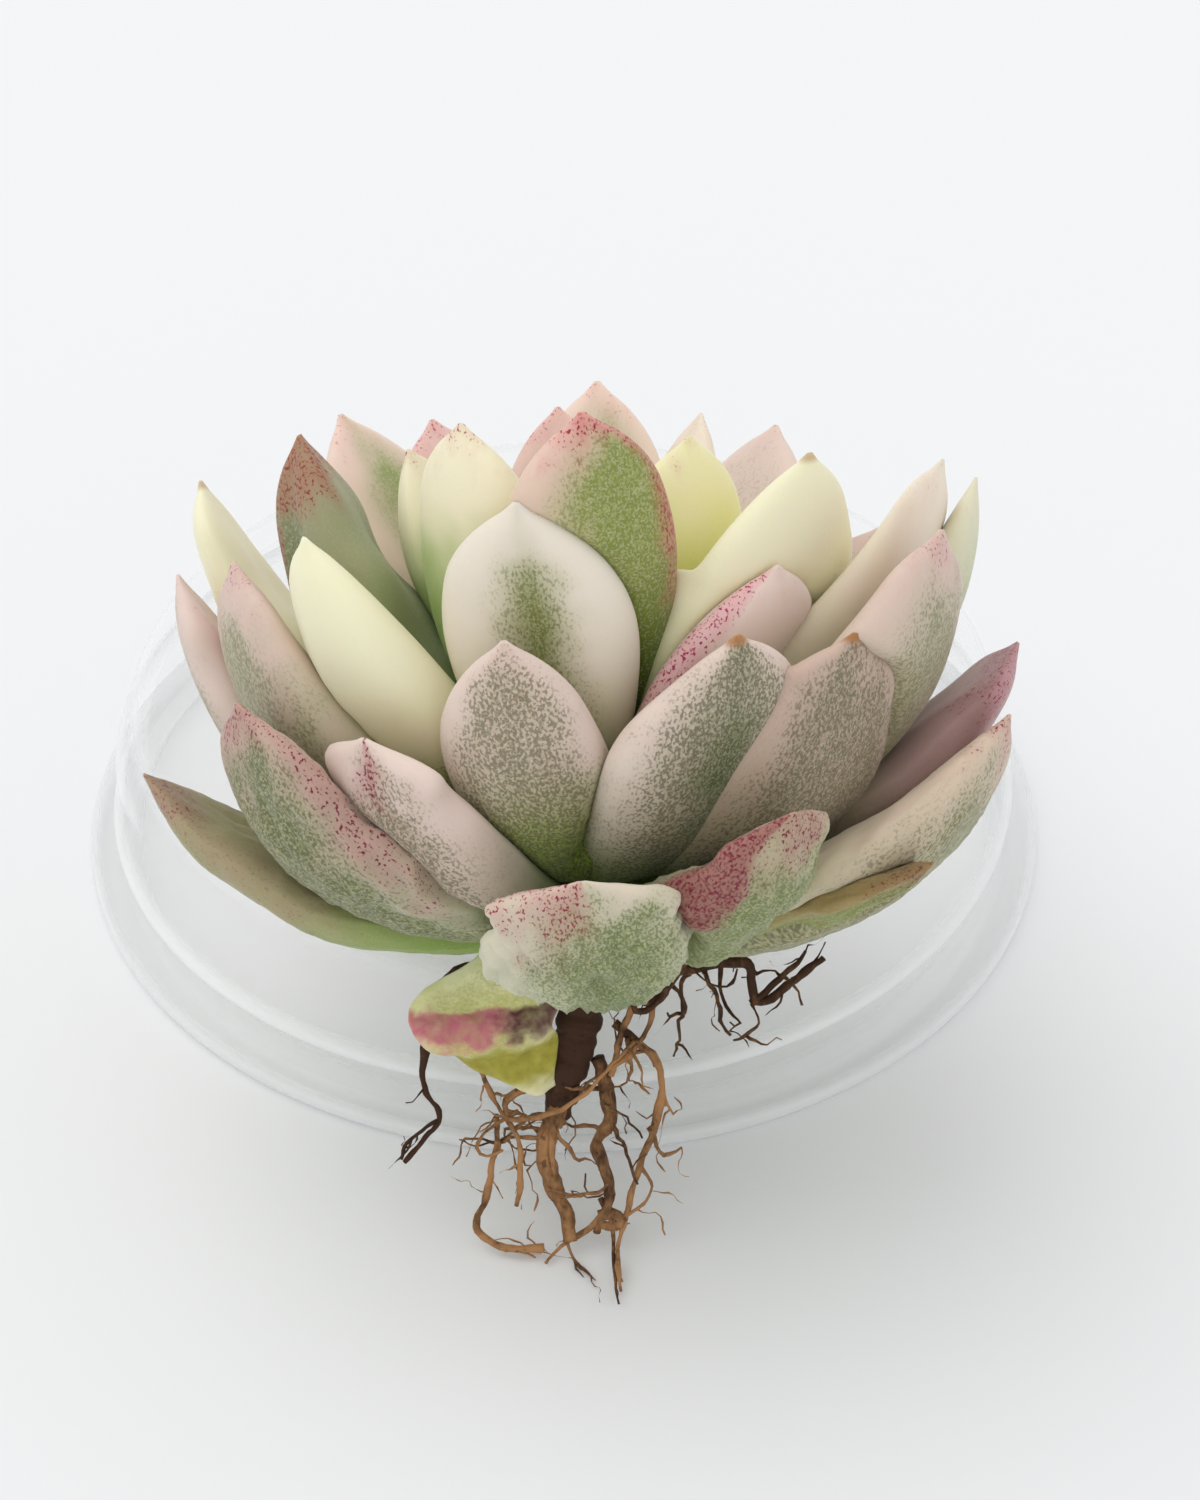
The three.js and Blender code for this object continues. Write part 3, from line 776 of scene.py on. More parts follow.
class LeafPlace:
    """Where a CAD leaf lies: base, tip, its own axes, its sizes and the rise of its middle line."""

    def __init__(self, node, seat, axis):
        points = cad_points(node)
        self.tip = points[np.argmax(np.linalg.norm(points - seat, axis=1))]
        reach = np.linalg.norm(points - self.tip, axis=1)
        self.base = points[reach > 0.93 * reach.max()].mean(0)
        chord = self.tip - self.base
        self.length = np.linalg.norm(chord)
        self.along = chord / self.length
        side = np.cross(self.along, axis)
        self.side = side / np.linalg.norm(side)
        self.up = np.cross(self.side, self.along)
        self.bow = self.up
        local = (points - self.base) @ np.array([self.side, self.along, self.up]).T
        share = local[:, 1] / self.length
        body = local[(share > 0.38) & (share < 0.74)]
        left, right = body[:, 0].min(), body[:, 0].max()
        self.half = (right - left) / 2
        margin = 0.06 * self.half
        margins = body[(body[:, 0] < left + margin) | (body[:, 0] > right - margin)]
        self.rise = margins[:, 2].mean()
        self.above = body[:, 2].max() - self.rise
        self.below = self.rise - body[:, 2].min()
        away = self.base - seat
        from_axis = np.linalg.norm(away - axis * (away @ axis))
        self.tail = max(from_axis - 1.0 * MM, 0.3 * MM)

    def shift(self, distance):
        """Moves the base to the leaf's right; the tip stays where it is."""
        self.base = self.base - self.side * distance

    def roll(self, angle):
        """Turns the leaf about the line from its base to its tip."""
        side, up = self.side, self.up
        self.side = side * math.cos(angle) + up * math.sin(angle)
        self.up = up * math.cos(angle) - side * math.sin(angle)


def folds(local, share, depth, seed):
    """Lengthwise folds and dents of a shrivelled leaf, as how far the skin sinks."""
    sink = np.empty(len(local))
    for i, (place, part) in enumerate(zip(local, share)):
        x, y, z = place
        warp = noise.noise(Vector((y * 260, x * 260, seed)))
        line = noise.noise(Vector((x * 850 + warp * 1.5, y * 190, z * 500 + seed)))
        fine = noise.noise(Vector((x * 2100 + warp * 2, y * 520, seed + z * 900)))
        dent = noise.noise(Vector((x * 240, y * 210, seed * 1.7 + z * 200)))
        fade = min(1.0, max(0.0, (part[0] - 0.05) / 0.25))
        sink[i] = (abs(line) * 1.3 + abs(fine) * 0.5 + max(dent, 0) * 1.4 - 0.3) * depth * fade
    return sink


def uneven_drift(local, generator):
    """A slow smooth wander of a surface, the sum of a few waves."""
    drift = np.zeros_like(local)
    for _ in range(7):
        wave = generator.normal(0, 320, 3)
        push = generator.normal(0, 1, 3)
        phase = generator.uniform(0, 2 * math.pi)
        drift += np.sin(local @ wave + phase)[:, None] * push
    return drift / 3


def shape_leaf(blank_points, place, habit, seed):
    """The blank's points moved to a leaf's place, with their shares of it and their unbent places.

    The leaf is full below and flat above, curved and uneven.
    """
    leaf = bpy.context.scene.leaf_settings
    x, t, z = blank_points.T
    tail = place.tail / place.length
    t_long = t * (1 + tail) - tail
    widths, depths = (np.maximum(values, 1e-6) for values in smooth_table(BLANK, t))
    across = np.clip(x / widths, -1, 1)
    face = z / depths
    lower = np.where(face < 0, -np.abs(face) ** leaf.lower_fill, 0.0)
    keel_line = 1 + habit["keel"] * np.exp(-(across / 0.28) ** 2) * np.clip(t * 1.6, 0, 1)
    hollow = 1 - leaf.hollow * np.exp(-(across / 0.5) ** 2)
    upper = np.where(face > 0, face * hollow, 0.0)
    thick = (upper * place.above + lower * place.below * keel_line) * depths
    blunt = 1 + 1.1 * habit["blunt"] * np.exp(-((t - 0.95) / 0.075) ** 2)
    wide = x * place.half * habit["wide"] * blunt * (1 + 0.04 * np.sin(5 * t + seed))
    generator = np.random.default_rng(int(seed * 1000))
    local = np.column_stack([wide, t_long * place.length, thick])
    fade = (np.clip(1 - t, 0, 0.25) / 0.25)[:, None]
    local += uneven_drift(local, generator) * leaf.uneven * fade
    if habit["fold"]:
        sink = folds(local, np.column_stack([t, across]), leaf.fold * habit["fold"], seed)
        outward = np.column_stack([across * 0.35, np.zeros_like(t), face])
        outward /= np.maximum(np.linalg.norm(outward, axis=1), 1e-9)[:, None]
        local -= outward * (sink * fade[:, 0])[:, None]
    rise = place.rise - habit["sag"] * MM
    bow = t_long * (1 - t_long) / (BELLY * (1 - BELLY))
    slope = (1 - 2 * t_long) / (BELLY * (1 - BELLY)) * rise / place.length
    lean = np.sqrt(1 + slope**2)
    offset_up = bow * rise
    offset_side = -bow * habit["sweep"] * MM
    along = local[:, 1] - local[:, 2] * slope / lean
    up = local[:, 2] / lean
    side = local[:, 0] + offset_side
    made = (place.base + side[:, None] * place.side + along[:, None] * place.along
            + up[:, None] * place.up + offset_up[:, None] * place.bow)
    shares = np.column_stack([t, -across, face])
    flat = np.column_stack([local[:, 1], -local[:, 0], local[:, 2]]) + seed * 0.37
    return made, shares, flat


def press_leaf(points, up, neighbours, limit):
    """Moves points that lie in an older leaf, or have come through it, to its inner side."""
    moved = points.copy()
    upward = Vector(up)
    for low, high, tree in neighbours:
        near = np.all((moved > low - limit) & (moved < high + limit), axis=1)
        for i in np.nonzero(near)[0]:
            start = Vector(moved[i])
            spot, normal, _, _ = tree.ray_cast(start, upward, limit)
            way_out = None
            while spot is not None:
                if normal.dot(upward) > 0:
                    way_out = spot
                start = spot + upward * PRESS_GAP
                left = limit - (start - Vector(moved[i])).length
                if left <= 0:
                    break
                spot, normal, _, _ = tree.ray_cast(start, upward, left)
            if way_out is not None:
                moved[i] = way_out + upward * PRESS_GAP
    return moved


def relax(mesh, points, rounds=3):
    """Evens out the moves so that a pressed leaf stays smooth."""
    edges = np.empty(len(mesh.edges) * 2, dtype=np.int64)
    mesh.edges.foreach_get("vertices", edges)
    first, second = edges.reshape(-1, 2).T
    start = mesh_points(mesh)
    move = points - start
    count = np.bincount(edges, minlength=len(points)).astype(float)[:, None]
    for _ in range(rounds):
        total = np.zeros_like(move)
        np.add.at(total, first, move[second])
        np.add.at(total, second, move[first])
        move = 0.5 * move + 0.5 * total / count
    return start + move


def leaf_slot(node):
    """The material slot that the record gives a leaf."""
    for part in frame["record"]["subparts"]:
        if part["node"] == node:
            return part["material_slot"]
    raise RuntimeError(f"the record has no part named {node}")


older_leaves = []  # the box and the surface of each leaf grown so far


def grow_leaf(node, look, habit, seed, place):
    """Grows one leaf and presses it against the older ones."""
    place.roll(math.radians(habit["roll"]))
    place.shift(habit["shift"] * MM)
    mesh = leaf_blank().copy()
    piece = bpy.data.objects.new(node + "_blade", mesh)
    bpy.context.scene.collection.objects.link(piece)
    if habit["fold"] > FINE_FOLD:
        refine(piece, "SIMPLE")
        mesh = piece.data
    made, shares, flat = shape_leaf(mesh_points(mesh), place, habit, seed)
    set_points(mesh, made)
    add_attribute(mesh, "leaf_share", shares)
    add_attribute(mesh, "leaf_place", flat)
    limit = bpy.context.scene.leaf_settings.press
    pressed = press_leaf(made, place.up, older_leaves, limit)
    free = np.clip((shares[:, :1] - PRESS_FREE) / PRESS_FADE, 0, 1)
    set_points(mesh, relax(mesh, pressed + (made - pressed) * free))
    points = mesh_points(mesh)
    polygons = [tuple(face.vertices) for face in mesh.polygons]
    surface = BVHTree.FromPolygons(points.tolist(), polygons)
    older_leaves.append((points.min(0), points.max(0), surface))
    smooth_shade(piece)
    return finish_piece(piece, node + "_blade", leaf_material(look), leaf_slot(node), node)


def grow_ring(kind):
    """Grows one ring, the leaves that lie lowest first, so that steeper ones give way to them."""
    seat, axis = rosette_axis()
    first_seed = 1 + 20 * list(LEAVES).index(kind)
    rows = []
    for i, (look, special) in enumerate(LEAVES[kind]):
        node = f"{kind}_{i + 1:02d}"
        habit = {**PLAIN_LEAF, **special}
        place = LeafPlace(node, seat, axis)
        steepness = place.along @ axis + habit["order"]
        rows.append((steepness, node, look, habit, first_seed + i * 1.13, place))
    for _, node, look, habit, seed, place in sorted(rows, key=lambda row: row[0]):
        grow_leaf(node, look, habit, seed, place)


# ---------------------------------------------------------------- tub

RIM_HEIGHT = 1.6 * MM
WALL_RADIUS = 28.7 * MM  # at the foot of the wall
TOP_RADIUS = 27.9 * MM
MOUTH_RADIUS = 28.8 * MM
EDGE_ROUND = 1.6 * MM
THREAD_LOW = 3.1 * MM
THREAD_HALF_WIDTH = 0.62 * MM
THREAD_TURNS = 1.12
THREAD_START = math.radians(-200)
WALL_ROW = 0.22 * MM
SPIN_STEPS = 180


def arc(centre, radius, start, end, steps):
    """Points on a round corner of the tub's outline, angles in degrees."""
    turns = (math.radians(start + (end - start) * i / steps) for i in range(steps + 1))
    return [(centre[0] + radius * math.cos(a), centre[1] + radius * math.sin(a)) for a in turns]


def tub_outline():
    """Half of the tub's cut face as radius and height, from the top's middle to the ceiling's."""
    wall = bpy.context.scene.tub_settings.wall
    rim = TUB_HIGH.x - TUB_CENTRE.x
    height = TUB_HIGH.z
    edge = EDGE_ROUND
    outside = [(0.0, height), (TOP_RADIUS * 0.5, height)]
    outside += arc((TOP_RADIUS - edge, height - edge), edge, 90, 0, 6)
    wall_top = height - edge
    drop = wall_top - RIM_HEIGHT - 0.5 * MM
    rows = round(drop / WALL_ROW)
    for i in range(1, rows + 1):
        share = i / rows
        radius = TOP_RADIUS + (WALL_RADIUS - TOP_RADIUS) * share
        outside.append((radius, wall_top - share * drop))
    bead = RIM_HEIGHT / 2
    outside.append((WALL_RADIUS + 0.15 * MM, RIM_HEIGHT + 0.15 * MM))
    outside.append((WALL_RADIUS + 0.6 * MM, RIM_HEIGHT))
    outside += arc((rim - bead, bead), bead, 90, -90, 8)
    inside = [(MOUTH_RADIUS, 0.0), (MOUTH_RADIUS - 0.3 * MM, 0.3 * MM)]
    inside.append((WALL_RADIUS - wall, RIM_HEIGHT))
    inside += arc((TOP_RADIUS - wall - edge, height - wall - edge), edge, 0, 90, 6)
    inside += [(TOP_RADIUS * 0.5, height - wall), (0.0, height - wall)]
    return outside + inside


def raise_thread(mesh):
    """Lifts the wall into a rounded ridge that climbs round it, and notes where plastic is thick."""
    tub = bpy.context.scene.tub_settings
    points = mesh_points(mesh)
    radius = np.hypot(points[:, 0], points[:, 1])
    turn = (np.arctan2(points[:, 1], points[:, 0]) - THREAD_START) / (2 * math.pi) % 1.0
    outer = (radius > TOP_RADIUS - 0.1 * MM) & (points[:, 2] > RIM_HEIGHT + 0.4 * MM)
    lift = np.zeros(len(points))
    for lap in range(math.ceil(THREAD_TURNS)):
        share = turn + lap
        off = (points[:, 2] - THREAD_LOW - tub.pitch * share) / THREAD_HALF_WIDTH
        fade = np.clip(share / 0.03, 0, 1) * np.clip((THREAD_TURNS - share) / 0.03, 0, 1)
        lift = np.maximum(lift, np.exp(-off**4) * fade)
    lift = np.where(outer, lift, 0)
    points[:, :2] *= (1 + lift * tub.ridge / np.maximum(radius, MM))[:, None]
    set_points(mesh, points)
    bead = np.clip((RIM_HEIGHT * 1.1 - points[:, 2]) / (RIM_HEIGHT * 0.4), 0, 1)
    edge = np.exp(-((radius - TOP_RADIUS + 0.5 * MM) / (0.6 * MM)) ** 2)
    edge *= points[:, 2] > TUB_HIGH.z - EDGE_ROUND
    thick = np.maximum(np.maximum(lift, 0.8 * bead), 0.35 * edge)
    add_attribute(mesh, "plastic_depth", np.column_stack([thick, thick, thick]))


def tub_material():
    """Thin frosted plastic that shows what is behind it, milkier where it is thick."""
    material = bpy.data.materials.new("frosted plastic")
    material.use_nodes = True
    tree = Tree(material.node_tree)
    place = tree.node("ShaderNodeTexCoord").outputs["Object"]
    thick = tree.node("ShaderNodeAttribute", attribute_name="plastic_depth").outputs["Fac"]
    cloud = tree.noise(place, 70, 3.0)
    pebble = tree.noise(place, 2600, 2.0)
    bump = {"Strength": 0.15, "Distance": 0.03 * MM, "Height": pebble}
    relief = tree.node("ShaderNodeBump", bump)
    plastic = tuple(bpy.context.scene.tub_settings.plastic)
    dull = tuple(value * 0.96 for value in plastic[:3]) + (1.0,)
    milky = tree.math("MULTIPLY_ADD", thick, 0.6, tree.math("MULTIPLY_ADD", cloud, 0.06, 0.06))
    shader = tree.node("ShaderNodeBsdfPrincipled", {
        "Base Color": tree.mix(cloud, plastic, dull), "Alpha": milky,
        "Roughness": tree.math("MULTIPLY_ADD", cloud, 0.14, 0.36),
        "Normal": relief.outputs["Normal"], "Specular IOR Level": 0.4})
    tree.node("ShaderNodeOutputMaterial", {"Surface": shader.outputs[0]})
    return material


def make_tub():
    """The outline drawn point by point, spun round the upright axis, then its thread raised."""
    deselect_all()
    outline = tub_outline()
    bpy.ops.mesh.primitive_plane_add(size=MM)
    tub = bpy.context.object
    bpy.ops.object.mode_set(mode="EDIT")
    bpy.ops.mesh.select_all(action="SELECT")
    bpy.ops.mesh.merge(type="CENTER")
    bpy.ops.transform.translate(value=(outline[0][0], 0, outline[0][1]))
    for (r0, z0), (r1, z1) in zip(outline, outline[1:]):
        step = (r1 - r0, 0, z1 - z0)
        bpy.ops.mesh.extrude_region_move(TRANSFORM_OT_translate={"value": step})
    bpy.ops.mesh.select_all(action="SELECT")
    bpy.ops.mesh.spin(steps=SPIN_STEPS, angle=2 * math.pi, center=(0, 0, 0), axis=(0, 0, 1))
    bpy.ops.object.mode_set(mode="OBJECT")
    face_outwards(merge=0.005 * MM)
    raise_thread(tub.data)
    tub.location = (TUB_CENTRE.x, TUB_CENTRE.y, 0)
    bpy.ops.object.transform_apply()
    smooth_shade(tub)
    finish_piece(tub, "tub_shell", tub_material(), "tub_plastic", "tub")


# ---------------------------------------------------------------- stem and roots

# routes in millimetres from the middle of the tub, on the floor
STEM_ROUTE = [(1.4, -30.4, 16.6), (1.4, -31.9, 14.2), (0.9, -33.2, 11.8), (0.1, -34.7, 8.8),
              (-0.1, -35.1, 7.7)]
STEM_GIRTH = [1.7, 1.75, 1.5, 1.15, 0.75]

# each main root: girth at its start and its end, then its route
ROOTS = {
    "tap_root": (0.8, 0.45, [
        (-0.1, -35.0, 8.4), (-0.2, -35.4, 7.8), (-0.9, -36.3, 5.2), (0.3, -37.8, 2.6),
        (0.6, -38.9, 1.1),
    ]),
    "front_root": (0.62, 0.28, [
        (2.2, -33.8, 11.0), (2.6, -34.4, 9.8), (3.0, -35.6, 7.6), (2.1, -36.4, 6.4),
        (3.0, -37.6, 4.0), (2.2, -38.6, 1.5),
    ]),
    "right_root": (0.34, 0.14, [
        (3.2, -32.8, 12.8), (5.4, -34.0, 11.4), (6.0, -35.2, 9.0), (4.8, -36.8, 5.6),
        (3.8, -38.2, 2.2), (3.4, -40.2, 0.9), (3.6, -42.4, 0.5),
    ]),
    "side_root": (0.55, 0.22, [
        (2.6, -31.4, 15.8), (4.0, -31.4, 15.9), (6.2, -31.6, 15.8), (8.4, -31.5, 16.2),
        (10.8, -31.8, 16.5), (11.4, -32.6, 14.4), (13.2, -32.4, 15.3), (15.2, -31.8, 17.0),
    ]),
    "left_root": (0.5, 0.14, [
        (-1.0, -31.2, 14.8), (-4.6, -31.4, 16.0), (-6.9, -32.0, 14.6), (-7.8, -33.9, 11.6),
        (-7.7, -34.9, 9.4), (-7.0, -35.6, 7.6), (-9.0, -36.6, 5.4),
    ]),
    "thin_root": (0.3, 0.16, [
        (-2.0, -34.8, 9.4), (-2.6, -34.9, 9.2), (-3.2, -35.4, 8.6), (-2.5, -36.2, 7.0),
        (-2.2, -37.0, 5.0), (-2.6, -37.8, 3.0),
    ]),
    "loop_root": (0.3, 0.2, [
        (-0.9, -39.3, 0.9), (-3.4, -39.2, 0.9), (-4.9, -38.2, 1.6), (-4.4, -37.4, 3.2),
        (-3.8, -36.4, 5.2), (-3.6, -35.2, 7.8),
    ]),
}

# fine roots: the main root they grow with, girth at start and end, route
FINE_ROOTS = [
    ("thin_root", 0.22, 0.12, [
        (-4.9, -34.2, 11.2), (-4.2, -34.8, 9.8), (-3.2, -35.8, 8.2), (-1.7, -36.0, 8.3),
        (0.0, -36.3, 9.1), (1.8, -36.0, 10.6), (3.1, -35.0, 11.7), (4.5, -33.9, 12.3),
        (5.3, -34.0, 11.7), (5.6, -34.4, 10.8),
    ]),
    ("tap_root", 0.3, 0.12, [
        (-0.3, -35.6, 8.2), (-0.4, -36.6, 6.1), (-0.3, -37.2, 4.9),
    ]),
    ("front_root", 0.22, 0.1, [
        (2.4, -37.7, 3.4), (3.1, -38.6, 1.8), (3.2, -40.6, 0.5), (3.4, -43.2, 0.3),
    ]),
    ("tap_root", 0.16, 0.1, [
        (-0.8, -37.4, 4.0), (0.6, -37.8, 3.7), (2.3, -37.8, 4.1), (3.0, -37.4, 4.7),
    ]),
    ("thin_root", 0.14, 0.08, [
        (-2.4, -35.5, 8.3), (-4.4, -36.1, 7.1), (-4.8, -36.4, 6.2), (-4.2, -36.7, 5.7),
        (-3.3, -36.5, 6.1),
    ]),
    ("side_root", 0.4, 0.22, [
        (2.7, -31.9, 16.3), (4.2, -32.5, 15.1), (5.1, -32.8, 14.3), (6.3, -32.4, 15.2),
        (7.4, -31.9, 16.4),
    ]),
    ("side_root", 0.32, 0.2, [
        (5.4, -31.7, 16.8), (6.3, -32.4, 15.6), (5.6, -33.0, 14.4), (4.4, -33.1, 14.1),
        (3.9, -32.5, 15.3), (2.2, -31.9, 15.2),
    ]),
    ("side_root", 0.36, 0.16, [
        (4.7, -32.3, 15.3), (6.3, -32.0, 16.1), (7.7, -31.7, 16.8), (9.0, -31.8, 16.6),
        (10.5, -31.5, 17.0),
    ]),
    ("side_root", 0.14, 0.07, [
        (11.1, -32.8, 14.3), (11.6, -33.3, 13.3), (10.9, -33.6, 12.6), (10.2, -33.7, 12.4),
    ]),
    ("side_root", 0.1, 0.07, [
        (7.4, -31.9, 16.4), (8.4, -32.2, 15.7), (9.3, -32.4, 15.2), (10.0, -32.3, 15.4),
        (10.3, -32.0, 16.2),
    ]),
    ("side_root", 0.3, 0.1, [
        (11.1, -32.8, 14.3), (12.5, -32.2, 15.4), (13.7, -31.7, 16.5), (14.3, -31.4, 17.1),
    ]),
    ("side_root", 0.16, 0.08, [
        (13.4, -32.2, 15.6), (14.6, -31.9, 16.4), (15.1, -31.5, 17.2), (15.4, -31.3, 17.7),
    ]),
    ("right_root", 0.16, 0.1, [
        (4.7, -36.9, 5.3), (5.4, -37.4, 4.1), (4.8, -37.9, 3.0), (3.7, -38.2, 2.4),
    ]),
    ("tap_root", 0.26, 0.1, [
        (2.6, -38.1, 2.6), (1.3, -38.6, 1.4), (0.1, -39.0, 0.7), (-0.8, -40.0, 0.2),
    ]),
    ("tap_root", 0.2, 0.08, [
        (0.4, -38.8, 1.0), (0.8, -39.6, 0.4), (1.3, -40.3, 0.2),
    ]),
    ("right_root", 0.3, 0.2, [
        (4.8, -32.3, 15.3), (3.9, -33.2, 13.4), (3.4, -34.0, 11.7), (2.9, -34.6, 10.4),
    ]),
    ("right_root", 0.26, 0.16, [
        (5.5, -32.7, 14.5), (5.0, -33.5, 12.8), (4.0, -34.2, 11.6), (2.7, -34.6, 10.8),
    ]),
    ("front_root", 0.4, 0.36, [
        (2.3, -38.2, 2.4), (3.0, -38.1, 2.5), (3.7, -38.3, 2.2), (3.1, -38.5, 1.8),
        (2.4, -38.4, 2.0),
    ]),
    ("left_root", 0.14, 0.08, [
        (-7.1, -35.7, 7.8), (-8.1, -36.0, 7.3), (-9.0, -36.4, 6.4), (-9.2, -36.7, 5.6),
    ]),
    ("right_root", 0.12, 0.07, [
        (6.1, -35.1, 9.3), (6.3, -35.3, 8.7), (6.6, -35.6, 8.2),
    ]),
]
HAIRS = {"tap_root": 14, "front_root": 12, "right_root": 12, "side_root": 20, "left_root": 6,
         "thin_root": 10, "loop_root": 6}
# loose fine roots that hang in a tangle from a main root's first stretch
TANGLE = {"tap_root": 5, "front_root": 5, "side_root": 9, "right_root": 3, "thin_root": 2}
TANGLE_LENGTH = (3.0, 7.0)
TANGLE_GIRTH = (0.1, 0.18)
HAIR_LENGTH = (1.2, 4.0)
HAIR_STEP = 0.4  # millimetres between a hair's points
ROOT_THINNESS = 0.85
BEND_SEED = 1  # for the small bends, which would otherwise change from run to run
# how dark each root's bark is; the others are young and pale
ROOT_DARKNESS = {"left_root": 0.85, "side_root": 0.65, "front_root": 0.6, "tap_root": 0.45}
YOUNG_ROOT = 0.25


def from_tub(point):
    """A point given in millimetres from the middle of the tub, in the row frame."""
    return TUB_CENTRE.xy.to_3d() + Vector(point) * MM


def smooth_route(points, spacing=0.35 * MM):
    """The route resampled on a smooth curve through its points."""
    points = [points[0] * 2 - points[1], *points, points[-1] * 2 - points[-2]]
    made = []
    for i in range(1, len(points) - 2):
        a, b, c, d = points[i - 1:i + 3]
        steps = max(2, round((c - b).length / spacing))
        for j in range(steps):
            u = j / steps
            made.append(0.5 * (2 * b + (c - a) * u + (2 * a - 5 * b + 4 * c - d) * u**2
                               + (3 * b - a - 3 * c + d) * u**3))
    made.append(points[-2])
    return made


def roughened(route, girths, seed, wander):
    """Adds small bends and lumps to a route and its girths."""
    made = []
    for i, (point, girth) in enumerate(zip(route, girths)):
        spot = point / MM * 0.55
        bend = noise.noise_vector(spot + Vector((seed, 0, 0)))
        bend += 0.5 * noise.noise_vector(spot * 2.7)
        lump = 1 + 0.38 * noise.noise(Vector((i * 0.31, seed * 3.1, 0)))
        lump += 0.15 * noise.noise(Vector((i * 0.9, seed, 5)))
        hold = min(1.0, i / 3)
        point = point + bend * wander * hold
        point.z = max(point.z, girth * MM + 0.05 * MM)
        made.append((point, girth * lump))
    return made


def random_hair(start, generator, length_mm, girth, droop=0.06):
    """A fine hair that wanders off and droops, its length and girth in millimetres."""
    heading = Vector(generator.normal(0, 1, 3))
    heading.z = -abs(heading.z) * 0.5
    heading.normalize()
    point = start.copy()
    points = [point.copy()]
    for _ in range(max(4, int(length_mm / HAIR_STEP))):
        turn = Vector(generator.normal(0, 0.42, 3))
        heading = (heading + turn + Vector((0, 0, -droop))).normalized()
        point = point + heading * HAIR_STEP * MM
        point.z = max(point.z, 0.15 * MM)
        points.append(point.copy())
    girths = np.linspace(girth, girth * 0.45, len(points))
    return list(zip(points, girths))


def strands_piece(name, strands):
    """One piece of closed round strands, each a list of points with their radii in millimetres."""
    curve = bpy.data.curves.new(name, "CURVE")
    curve.dimensions = "3D"
    curve.bevel_depth = MM
    curve.bevel_resolution = 2
    curve.use_fill_caps = True
    for strand in strands:
        spline = curve.splines.new("POLY")
        spline.points.add(len(strand) - 1)
        for knot, (point, girth) in zip(spline.points, strand):
            knot.co = (*point, 1)
            knot.radius = girth
    piece = bpy.data.objects.new(name, curve)
    bpy.context.scene.collection.objects.link(piece)
    make_active(piece)
    bpy.ops.object.convert(target="MESH")
    piece = bpy.context.object
    face_outwards(merge=0.002 * MM)
    smooth_shade(piece)
    return piece


def roughen_skin(piece, depth, scale):
    """Pushes the skin in and out along its normals, as dry bark is."""
    mesh = piece.data
    points = mesh_points(mesh)
    normals = np.array([vertex.normal for vertex in mesh.vertices])
    rise = np.array([noise.noise(Vector(point) * scale) for point in points])
    fine = np.array([noise.noise(Vector(point) * scale * 2.6) for point in points])
    set_points(mesh, points + normals * ((rise + 0.5 * fine) * depth)[:, None])


def make_root(name, seed):
    """Makes a main root with its fine roots, its tangle and its hairs, as one piece."""
    root = bpy.context.scene.root_settings
    start, end, route = ROOTS[name]
    generator = np.random.default_rng(seed)
    path = smooth_route([from_tub(point) for point in route])
    girths = np.linspace(start, end, len(path)) * ROOT_THINNESS
    strands = [roughened(path, girths, seed, root.wander)]
    for i, (owner, first, last, fine) in enumerate(FINE_ROOTS):
        if owner == name:
            path = smooth_route([from_tub(point) for point in fine])
            girths = np.linspace(first, last, len(path)) * ROOT_THINNESS
            strands.append(roughened(path, girths, seed + i * 0.7, root.wander))
    hosts = list(strands)
    for _ in range(TANGLE.get(name, 0)):
        spot = strands[0][generator.integers(1, len(strands[0]) // 2)][0]
        hosts.append(random_hair(spot, generator, generator.uniform(*TANGLE_LENGTH),
                                 generator.uniform(*TANGLE_GIRTH), droop=0.14))
        strands.append(hosts[-1])
    for _ in range(HAIRS[name]):
        host = hosts[generator.integers(len(hosts))]
        spot = host[generator.integers(2, len(host))][0]
        thin = root.hair / MM * generator.uniform(0.7, 1.5)
        strands.append(random_hair(spot, generator, generator.uniform(*HAIR_LENGTH), thin))
    piece = strands_piece(name + "_strands", strands)
    roughen_skin(piece, 0.07 * MM, 900)
    dark = ROOT_DARKNESS.get(name, YOUNG_ROOT)
    bark = bark_material(f"root bark {dark:.2f}", dark)
    finish_piece(piece, name + "_strands", bark, "root", name)


def make_stem():
    """Bare woody stem with old leaf scars, and the crown that carries on inside the rosette."""
    seat, axis = rosette_axis()
    path = smooth_route([from_tub(point) for point in STEM_ROUTE], 0.2 * MM)
    spots = np.linspace(0, 1, len(path))
    girths = np.interp(spots, np.linspace(0, 1, len(STEM_GIRTH)), STEM_GIRTH)
    scars = 1 + 0.07 * np.sin(spots * 46) + 0.05 * np.sin(spots * 95 + 1)
    bare = list(zip(path, girths * scars))
    crown = []
    for step in np.linspace(-1.5 * MM, CROWN_HEIGHT, 30):
        crown.append((Vector(seat + axis * step), 1.6 - 0.6 * max(step, 0) / CROWN_HEIGHT))
    piece = strands_piece("stem_bark", [bare, crown])
    refine(piece, "CATMULL_CLARK")
    roughen_skin(piece, 0.28 * MM, 620)
    finish_piece(piece, "stem_bark", bark_material("stem bark", 1.0), "bark", "stem")


# ---------------------------------------------------------------- hanging leaf

